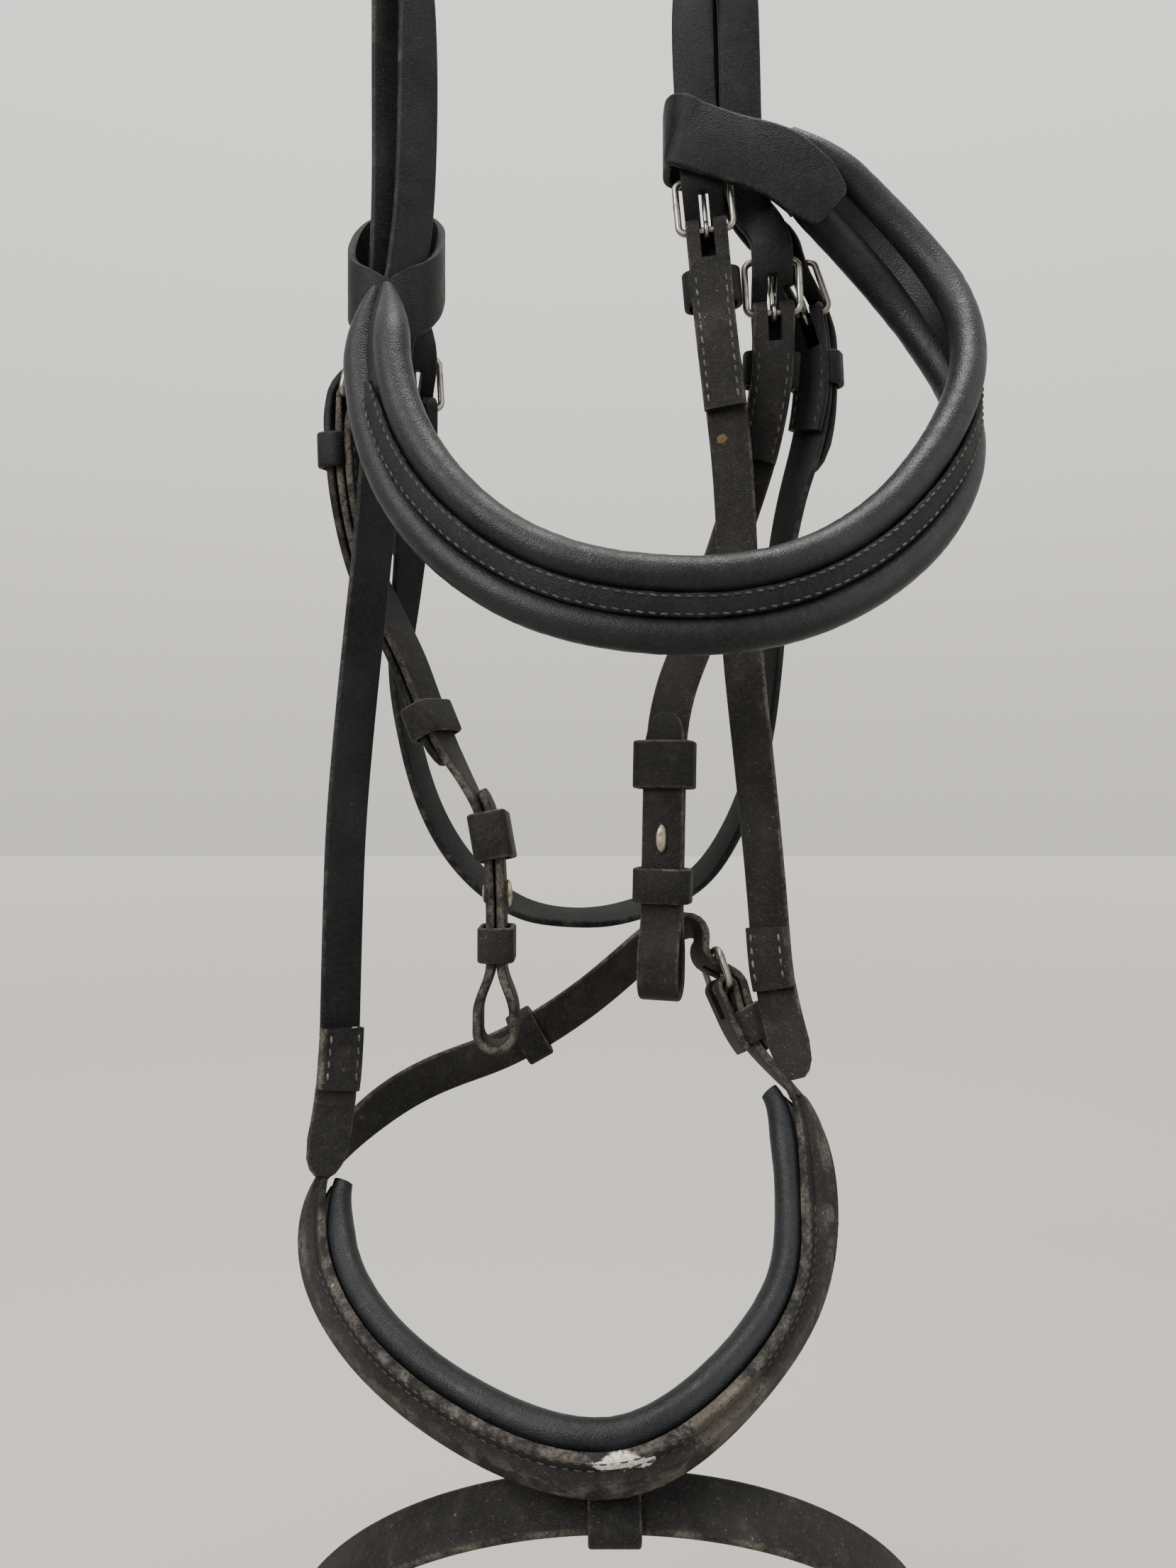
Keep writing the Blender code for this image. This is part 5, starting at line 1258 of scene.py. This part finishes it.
def noseband(lines, leather, ridged, soft, steel):
    """The padded nosepiece, its sewn loop ends, and the chin strap with its buckle and runner."""
    ring = lines["band"]
    near = ring.knot(NEAR_SEWN_KNOT)
    off = ring.knot(OFF_SEWN_KNOT)
    run = steps_between(off + FLEX_GAP, ring.length, STATION_STEP)[:-1]
    run += steps_between(0.0, near - FLEX_GAP, STATION_STEP)
    stations = [ring.at(d) for d in run]
    half = NOSE_WIDTH / 2
    deep = NOSE_THICKNESS / 2
    section = [(-half, -deep * 0.5), (-half * 0.97, -deep * 0.9), (-half * 0.93, -deep)]
    section += [(half * 0.93, -deep), (half * 0.97, -deep * 0.9), (half, -deep * 0.5)]
    for k in range(41):
        share = 1 - k / 20
        away = abs(share)
        rise = 0.5 + 0.5 * math.cos(math.pi * min(max((away - 0.38) / 0.17, 0), 1))
        groove = math.exp(-((away - NOSE_SEAM_SHARE) / 0.035) ** 2)
        groove += math.exp(-((away - NOSE_EDGE_SEAM_SHARE) / 0.03) ** 2) * 0.6
        shoulder = 1 - 0.45 * max((away - 0.9) / 0.1, 0) ** 2
        section.append((half * share, deep * shoulder + NOSE_RAISE * rise - 0.00035 * groove))
    count = len(stations)
    padded("nosepiece_leather", stations, section, 0.0, ridged,
           end_shares(count, STRAP_WIDTH / NOSE_WIDTH, 4), end_shares(count, 0.55, 4), 0.006)
    radius = NOSE_PAD_THICKNESS / 2
    pad_section = roll_section(NOSE_PAD_WIDTH / 2 - radius, radius, radius * 0.8)
    pad_run = steps_between(off + NOSE_PAD_START, ring.length, STATION_STEP)[:-1]
    pad_run += steps_between(0.0, near + NOSE_PAD_OVER, STATION_STEP)
    pad_stations = [ring.at(d) for d in pad_run]
    count = len(pad_stations)
    sunk = -(deep + SEAT_GAP + radius)
    padded("nosepiece_padding", pad_stations, pad_section, sunk, soft, end_shares(count, 0.5, 2.5),
           end_shares(count, 0.7, 2.5), 0.012)
    sewn_end("near_noseband_loop_end", lines["near_end"], leather)
    sewn_end("off_noseband_loop_end", lines["off_end"], leather)
    bar = ring.knot(CHIN_BAR_KNOT) + CHIN_BUCKLE_LENGTH / 3
    buckle = Buckle(ring, bar, 1, STRAP_WIDTH, CHIN_CHAPE_LENGTH, CHIN_BUCKLE_LENGTH)
    places, thick = unzip(chape_strap(buckle, near + 6 * FLEX_GAP))
    made = strap("near_chin_strap", places, leather, None, thick)
    cut(made, [chape_slot(buckle)])
    buckle_set("chin", buckle, steel, leather, KEEPER_DROP * 0.8)
    billet("off_chin_strap", buckle, CHIN_BILLET, off - 3 * FLEX_GAP, leather)
    keeper("chin_runner", ring, ring.knot(CHIN_RUNNER_KNOT), STRAP_WIDTH, -STRAP_THICKNESS / 2,
           STRAP_THICKNESS / 2, RUNNER_HEIGHT * 0.6, leather)


def flash(leather, steel):
    """The flash strap: a hoop through the flash loop, buckled far below."""
    front = place((*FLASH_FRONT_SHARES, 0))[0]
    droop = math.radians(FLASH_DROOP_DEGREES)
    down = Vector((0, math.cos(droop), -math.sin(droop)))
    middle = front + down * FLASH_RADIUS
    side = Vector((1, 0, 0))
    knots = []
    for k in range(-6, 44):
        turn = math.radians(180 + 10 * k)
        outward = side * math.sin(turn) - down * math.cos(turn)
        knots.append((middle + outward * FLASH_RADIUS, outward))
    hoop = Spine(knots)
    bar = hoop.knot(6)
    once = hoop.knot(42) - bar
    buckle = Buckle(hoop, bar, -1, FLASH_WIDTH, CHIN_CHAPE_LENGTH)
    start = bar - 2.6 * BUCKLE_LENGTH
    stations, thick = unzip(chape_strap(buckle, start + once))
    wide = [1.0] * len(stations)
    ends, end_wide = unzip(list(reversed(buckle.billet_stations(FLASH_BILLET, start, FLASH_WIDTH))))
    stations += ends[1:]
    wide += end_wide[1:]
    thick += [1.0] * (len(ends) - 1)
    made = strap("flash_strap", stations, leather, wide, thick, FLASH_WIDTH)
    holes = punched_holes(buckle, *FLASH_TIP_HOLES) + punched_holes(buckle, *FLASH_HOLES)
    cut(made, [chape_slot(buckle)] + holes)
    cut(made, [billet_slot(buckle)])
    buckle_set("flash", buckle, steel, leather)
    band("flash_loop", hoop.frame(hoop.knot(24)), FLASH_WIDTH + 3 * KEEPER_GAP,
         STRAP_THICKNESS + 2 * KEEPER_GAP, KEEPER_WALL, FLASH_LOOP_WIDTH, leather)


def stitch(start, point, along, outward, length, radius):
    """Points and faces of one stitch, a short thread with sunk ends; start is its first point's index."""
    sides = 7
    side = along.cross(outward).normalized()
    vertices = []
    for share, swell, lift in STITCH_SHAPE:
        centre = point + along * (share * length) + outward * (lift * radius)
        vertices += round_ring(centre, side, outward, radius * swell, sides)
    return vertices, skin(start, len(STITCH_SHAPE), sides)


def stitches(name, body, rows, thread, sizes=STITCHES):
    """One piece of stitching from rows; a row is a spine, start, end, and a side and height of the seam."""
    pitch, length, radius = sizes
    vertices = []
    faces = []
    for spine, start, end, side, height in rows:
        count = max(1, int(abs(end - start) / pitch))
        for k in range(count):
            distance = start + (end - start) * (k + 0.5) / count
            sway = STITCH_SWAY * noise.noise(Vector((distance * 700, side * 900, height * 900)))
            point, along, across, outward = spine.frame(distance)
            slant = across * (0.10 if k % 2 else 0.04)
            more, quads = stitch(len(vertices), point + across * (side + sway) + outward * height,
                                 (along + slant).normalized(), outward if height > 0 else -outward,
                                 length, radius)
            vertices += more
            faces += quads
    made = finish(name, vertices, faces, thread)
    del made_pieces[name]
    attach(made, body)


def seam_rows(spine, start, end, side):
    """A row of stitching on both faces of a doubled strap."""
    return [(spine, start, end, side, STRAP_THICKNESS / 2), (spine, start, end, side, -TWO_LAYERS)]


def chape_seams(buckle):
    """The two rows of stitching along a chape, on both faces."""
    start = buckle.bar - buckle.side * buckle.chape * SEAM_START_SHARE
    end = buckle.bar - buckle.side * buckle.chape * SEAM_END_SHARE
    rows = []
    for side in (-1, 1):
        rows += seam_rows(buckle.spine, start, end, side * (buckle.width / 2 - SEAM_MARGIN))
    return rows


def build(materials):
    """All the pieces that stand for the part's nodes, and their stitching."""
    leather, worn, ridged, old, soft, steel, brass, dark_thread, pale_thread = materials
    lines = make_spines()
    nose = lines["nose"]
    cheek = lines["cheek"]
    throat = lines["throat"]

    def buckle_at(spine, share, rising, side, width, chape_length):
        return Buckle(spine, drop_distance(spine, share, rising), side, width, chape_length)

    near_cheek = buckle_at(cheek, NEAR_CHEEK_BAR_SHARE, True, 1, STRAP_WIDTH, CHAPE_LENGTH)
    off_cheek = buckle_at(cheek, OFF_CHEEK_BAR_SHARE, False, -1, STRAP_WIDTH, CHAPE_LENGTH)
    near_throat = buckle_at(throat, NEAR_THROAT_BAR_SHARE, True, -1, THROAT_WIDTH, THROAT_CHAPE_LENGTH)
    off_throat = buckle_at(throat, OFF_THROAT_BAR_SHARE, False, 1, THROAT_WIDTH, THROAT_CHAPE_LENGTH)
    crown_buckles = (near_cheek, off_cheek, near_throat, off_throat)
    headpiece(crown_buckles, leather)

    nose_buckle = buckle_at(nose, NOSE_BAR_SHARE, True, 1, STRAP_WIDTH, NOSE_CHAPE_LENGTH)
    billet("noseband_headstrap", nose_buckle, NOSE_BILLET, nose.length + FOLD_REACH, leather, NOSE_HOLES)
    places, thick = unzip(chape_strap(nose_buckle, -FOLD_REACH))
    made = strap("near_noseband_cheek", places, worn, None, thick)
    cut(made, [chape_slot(nose_buckle)])
    buckle_set("noseband", nose_buckle, steel, leather)

    cheekpiece("near", cheek, near_cheek, 0.0, 1, NEAR_BIT_END_SHARES, old, brass)
    buckle_set("near_cheek", near_cheek, steel, leather)
    cheekpiece("off", cheek, off_cheek, cheek.length, -1, OFF_BIT_END_SHARES, old, brass)
    buckle_set("off_cheek", off_cheek, steel, leather)
    places, wide = unzip(off_cheek.tip_stations(OFF_CHEEK_BILLET, FLEX_BELOW + FLEX_GAP, STRAP_WIDTH))
    made = strap("off_cheek_billet_end", places, leather, wide)
    cut(made, punched_holes(off_cheek, *OFF_CHEEK_END_HOLES))
    keeper("off_cheek_runner", cheek, drop_distance(cheek, OFF_RUNNER_SHARE, False), STRAP_WIDTH,
           -STRAP_THICKNESS / 2, TWO_LAYERS, KEEPER_HEIGHT, old)

    near_end = near_throat.bar + FLEX_BELOW + FLEX_GAP
    off_end = off_throat.bar - FLEX_BELOW - FLEX_GAP
    places = [throat.at(distance) for distance in steps_between(near_end, off_end)]
    strap("throatlash", places, leather, width=THROAT_WIDTH)
    for prefix, buckle in (("near_throat", near_throat), ("off_throat", off_throat)):
        chape(prefix + "_chape", buckle, leather)
        buckle_set(prefix, buckle, steel, leather)

    browband(lines, leather, soft)
    noseband(lines, worn, ridged, soft, steel)
    flash(worn, steel)

    rows = []
    for buckle in crown_buckles:
        rows += chape_seams(buckle)
    stitches("crown_chape_stitching", "crown", rows, dark_thread)
    stitches("noseband_chape_stitching", "crown", chape_seams(nose_buckle), pale_thread)
    brow = lines["brow"]
    start = STRIP_INSET + STRIP_SEAM_STOP
    end = brow.length - STRIP_INSET - STRIP_SEAM_STOP
    strip_top = BROWBAND_WEB / 2 + 2 * SEAT_GAP + BROWBAND_STRIP_THICKNESS
    rows = [(brow, start, end, side * BROWBAND_STRIP_WIDTH * STRIP_SEAM_SHARE, strip_top) for side in (-1, 1)]
    stitches("browband_stitching", "browband", rows, dark_thread, BROW_STITCHES)
    ring = lines["band"]
    near = ring.knot(NEAR_SEWN_KNOT)
    off = ring.knot(OFF_SEWN_KNOT)
    rows = []
    for side in (-1, 1):
        for start, end in ((off + NOSE_SEAM_STOP, ring.length - NOSE_SEAM_BREAK),
                           (NOSE_SEAM_BREAK, near - NOSE_SEAM_STOP)):
            for share, sunk in ((NOSE_SEAM_SHARE, NOSE_SEAM_SUNK),
                                (NOSE_EDGE_SEAM_SHARE, NOSE_EDGE_SEAM_SUNK)):
                rows.append((ring, start, end, side * NOSE_WIDTH / 2 * share, NOSE_THICKNESS / 2 - sunk))
    stitches("nosepiece_stitching", "noseband", rows, dark_thread, NOSE_STITCHES)
    rows = []
    end = SEWN_FOLD_LENGTH - FOLD_SEAM_STOP
    for spine in (lines["near_end"], lines["off_end"]):
        for side in (-1, 1):
            rows += seam_rows(spine, FOLD_SEAM_START, end, side * (STRAP_WIDTH / 2 - SEAM_MARGIN))
    stitches("noseband_end_stitching", "noseband", rows, pale_thread)


def light(name, place_at, target, size, power, colour):
    data = bpy.data.lights.new(name, "AREA")
    data.shape = "RECTANGLE"
    data.size, data.size_y = size
    data.energy = power
    data.color = colour
    made = bpy.data.objects.new(name, data)
    made.location = place_at
    made.rotation_euler = (Vector(target) - Vector(place_at)).to_track_quat("-Z", "Y").to_euler()
    bpy.context.scene.collection.objects.link(made)


# The photograph's camera, in metres and with its sensor and lens in millimetres
CAMERA_PLACE = (0.00975, -0.370, -0.340)
SENSOR_HEIGHT = 36.0
LENS = 27.05
# The floor's half size, how far below the bridle it lies, and tones of floor and room with their stops. The
# floor's tones are painted shade: darkest near the camera, paler far off towards the horizon
FLOOR_HALF = 6.0
FLOOR_DROP = 0.03
FLOOR_NEAR = 0.6
FLOOR_PAINTED_SHADE_TONES = ((0.1, (0.80, 0.78, 0.73)), (0.3, (0.56, 0.545, 0.51)), (0.55, (0.43, 0.42, 0.39)),
               (1.0, (0.36, 0.35, 0.325)))
ROOM_TONES = ((0.0, (0.62, 0.605, 0.56)), (0.35, (0.84, 0.82, 0.765)), (0.75, (1.0, 0.98, 0.93)))
ROOM_STRENGTH = 1.3
# Each light's name, place, target, size, power and colour
LIGHTS = (
    ("window", (-0.75, -0.9, 0.35), (0.0, 0.0, -0.35), (0.6, 0.8), 26, (1.0, 0.98, 0.95)),
    ("ceiling", (0.1, -0.1, 0.85), (0.0, 0.0, -0.3), (0.7, 0.4), 22, (1.0, 0.97, 0.93)),
    ("fill", (0.9, -0.5, -0.1), (0.0, 0.0, -0.4), (0.8, 1.0), 6, (0.95, 0.97, 1.0)))


def surroundings():
    """The camera at the photograph's place, a pale floor with painted shade that is darkest near the camera,
    and soft light.
    """
    camera_data = bpy.data.cameras.new("camera")
    camera_data.sensor_fit = "VERTICAL"
    camera_data.sensor_height = SENSOR_HEIGHT
    camera_data.lens = LENS
    camera_data.clip_start = 0.01
    camera = bpy.data.objects.new("camera", camera_data)
    camera.location = CAMERA_PLACE
    camera.rotation_euler = (math.radians(90), 0, 0)
    bpy.context.scene.collection.objects.link(camera)
    bpy.context.scene.camera = camera
    low = cad_box[0][2] - FLOOR_DROP
    mesh = bpy.data.meshes.new("floor")
    corners = ((-1, -1), (1, -1), (1, 1), (-1, 1))
    mesh.from_pydata([(a * FLOOR_HALF, b * FLOOR_HALF, low) for a, b in corners], [], [(0, 1, 2, 3)])
    floor = bpy.data.objects.new("floor", mesh)
    bpy.context.scene.collection.objects.link(floor)
    paint, tree, shader, place_on = start_material("floor_painted_shade")
    # Painted shade on the floor: its colour darkens towards the camera and pales with distance, standing in
    # for how the light falls
    reach = vector_node(tree, "DISTANCE", place_on, (CAMERA_PLACE[0], CAMERA_PLACE[1], low))
    near = math_node(tree, "DIVIDE", FLOOR_NEAR, reach, True)
    link(tree, colour_ramp(tree, near, FLOOR_PAINTED_SHADE_TONES), shader.inputs["Base Color"])
    shader.inputs["Roughness"].default_value = 0.9
    mesh.materials.append(paint)
    world = bpy.data.worlds.new("room")
    world.use_nodes = True
    tree = world.node_tree
    way = node(tree, "ShaderNodeSeparateXYZ")
    link(tree, node(tree, "ShaderNodeTexCoord").outputs["Generated"], way.inputs[0])
    height = spread(tree, way.outputs[2], -0.1, 0.75)
    link(tree, colour_ramp(tree, height, ROOM_TONES), tree.nodes["Background"].inputs["Color"])
    tree.nodes["Background"].inputs["Strength"].default_value = ROOM_STRENGTH
    bpy.context.scene.world = world
    for row in LIGHTS:
        light(*row)


# Rubbed places: centre, sizes, colour and strength. Two scuffs on the off fold, two brown marks on the near
# strap, then the nosepiece's white scrape and the dull patch round it
SCUFF_COLOUR = (0.42, 0.40, 0.37)
STRAP_RUBS = (
    ((-0.0635, 0.002, -0.4155), (0.0018, 0.008, 0.0022), SCUFF_COLOUR, 0.8),
    ((-0.0735, 0.002, -0.4195), (0.0014, 0.008, 0.0030), SCUFF_COLOUR, 0.8),
    ((0.0468, -0.002, -0.1675), (0.0032, 0.0060, 0.0050), (0.16, 0.070, 0.030), 1.0),
    ((0.0517, 0.0, -0.2318), (0.0024, 0.0080, 0.0024), (0.10, 0.065, 0.025), 0.9))
NOSE_RUBS = (
    ((0.0186, -0.081, -0.5065), (0.0120, 0.014, 0.0034), (0.52, 0.50, 0.46), 0.85),
    ((0.044, -0.069, -0.499), (0.024, 0.020, 0.013), (0.085, 0.075, 0.06), 0.5))
BLACK = (0.0032, 0.0034, 0.0038)
BROWN_BLACK = (0.0050, 0.0048, 0.0046)
NOSE_BLACK = (0.0052, 0.0049, 0.0046)
OLD_BLACK = (0.0044, 0.0042, 0.0040)
SOFT_BLACK = (0.0030, 0.0035, 0.0042)
PALE_EDGE = (0.060, 0.053, 0.045)
WORN_EDGE = (0.085, 0.074, 0.062)
NOSE_EDGE = (0.090, 0.080, 0.068)
SOFT_EDGE = (0.05, 0.05, 0.05)
# Metals: colour, roughness and tarnish; threads: colour and worn colour
NICKEL = ((0.24, 0.225, 0.205), 0.30, (0.08, 0.072, 0.062))
AGED_BRASS = ((0.30, 0.265, 0.20), 0.42, (0.13, 0.11, 0.08))
DARK_THREAD = ((0.006, 0.006, 0.0055), (0.035, 0.031, 0.026))
PALE_THREAD = ((0.016, 0.015, 0.014), (0.095, 0.088, 0.078))


def main():
    surroundings()
    leather = leather_material("plain_leather", BLACK, PALE_EDGE, 0.45, 0.22, 0.56)
    worn = leather_material("worn_leather", BROWN_BLACK, WORN_EDGE, 0.75, 0.55, 0.62, 1.2, STRAP_RUBS)
    ridged = leather_material("ridged_leather", NOSE_BLACK, NOSE_EDGE, 0.6, 0.5, 0.64, 1.3, NOSE_RUBS,
                              ridge=0.42)
    old = leather_material("old_leather", OLD_BLACK, WORN_EDGE, 0.75, 0.45, 0.60, 1.1)
    soft = leather_material("soft_leather", SOFT_BLACK, SOFT_EDGE, 0.0, 0.06, 0.45, 0.8, crease=1.1,
                            gloss=0.17)
    steel = metal_material("nickel_plate", *NICKEL)
    brass = metal_material("aged_brass", *AGED_BRASS)
    dark_thread = thread_material("dark_thread", *DARK_THREAD)
    pale_thread = thread_material("pale_thread", *PALE_THREAD)
    build((leather, worn, ridged, old, soft, steel, brass, dark_thread, pale_thread))

    record = frame["record"]
    homes = {name: body for body, members in record["behaviour"]["bodies"].items() for name in members}
    for name, piece in made_pieces.items():
        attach(piece, homes[name])
        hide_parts(name)


main()
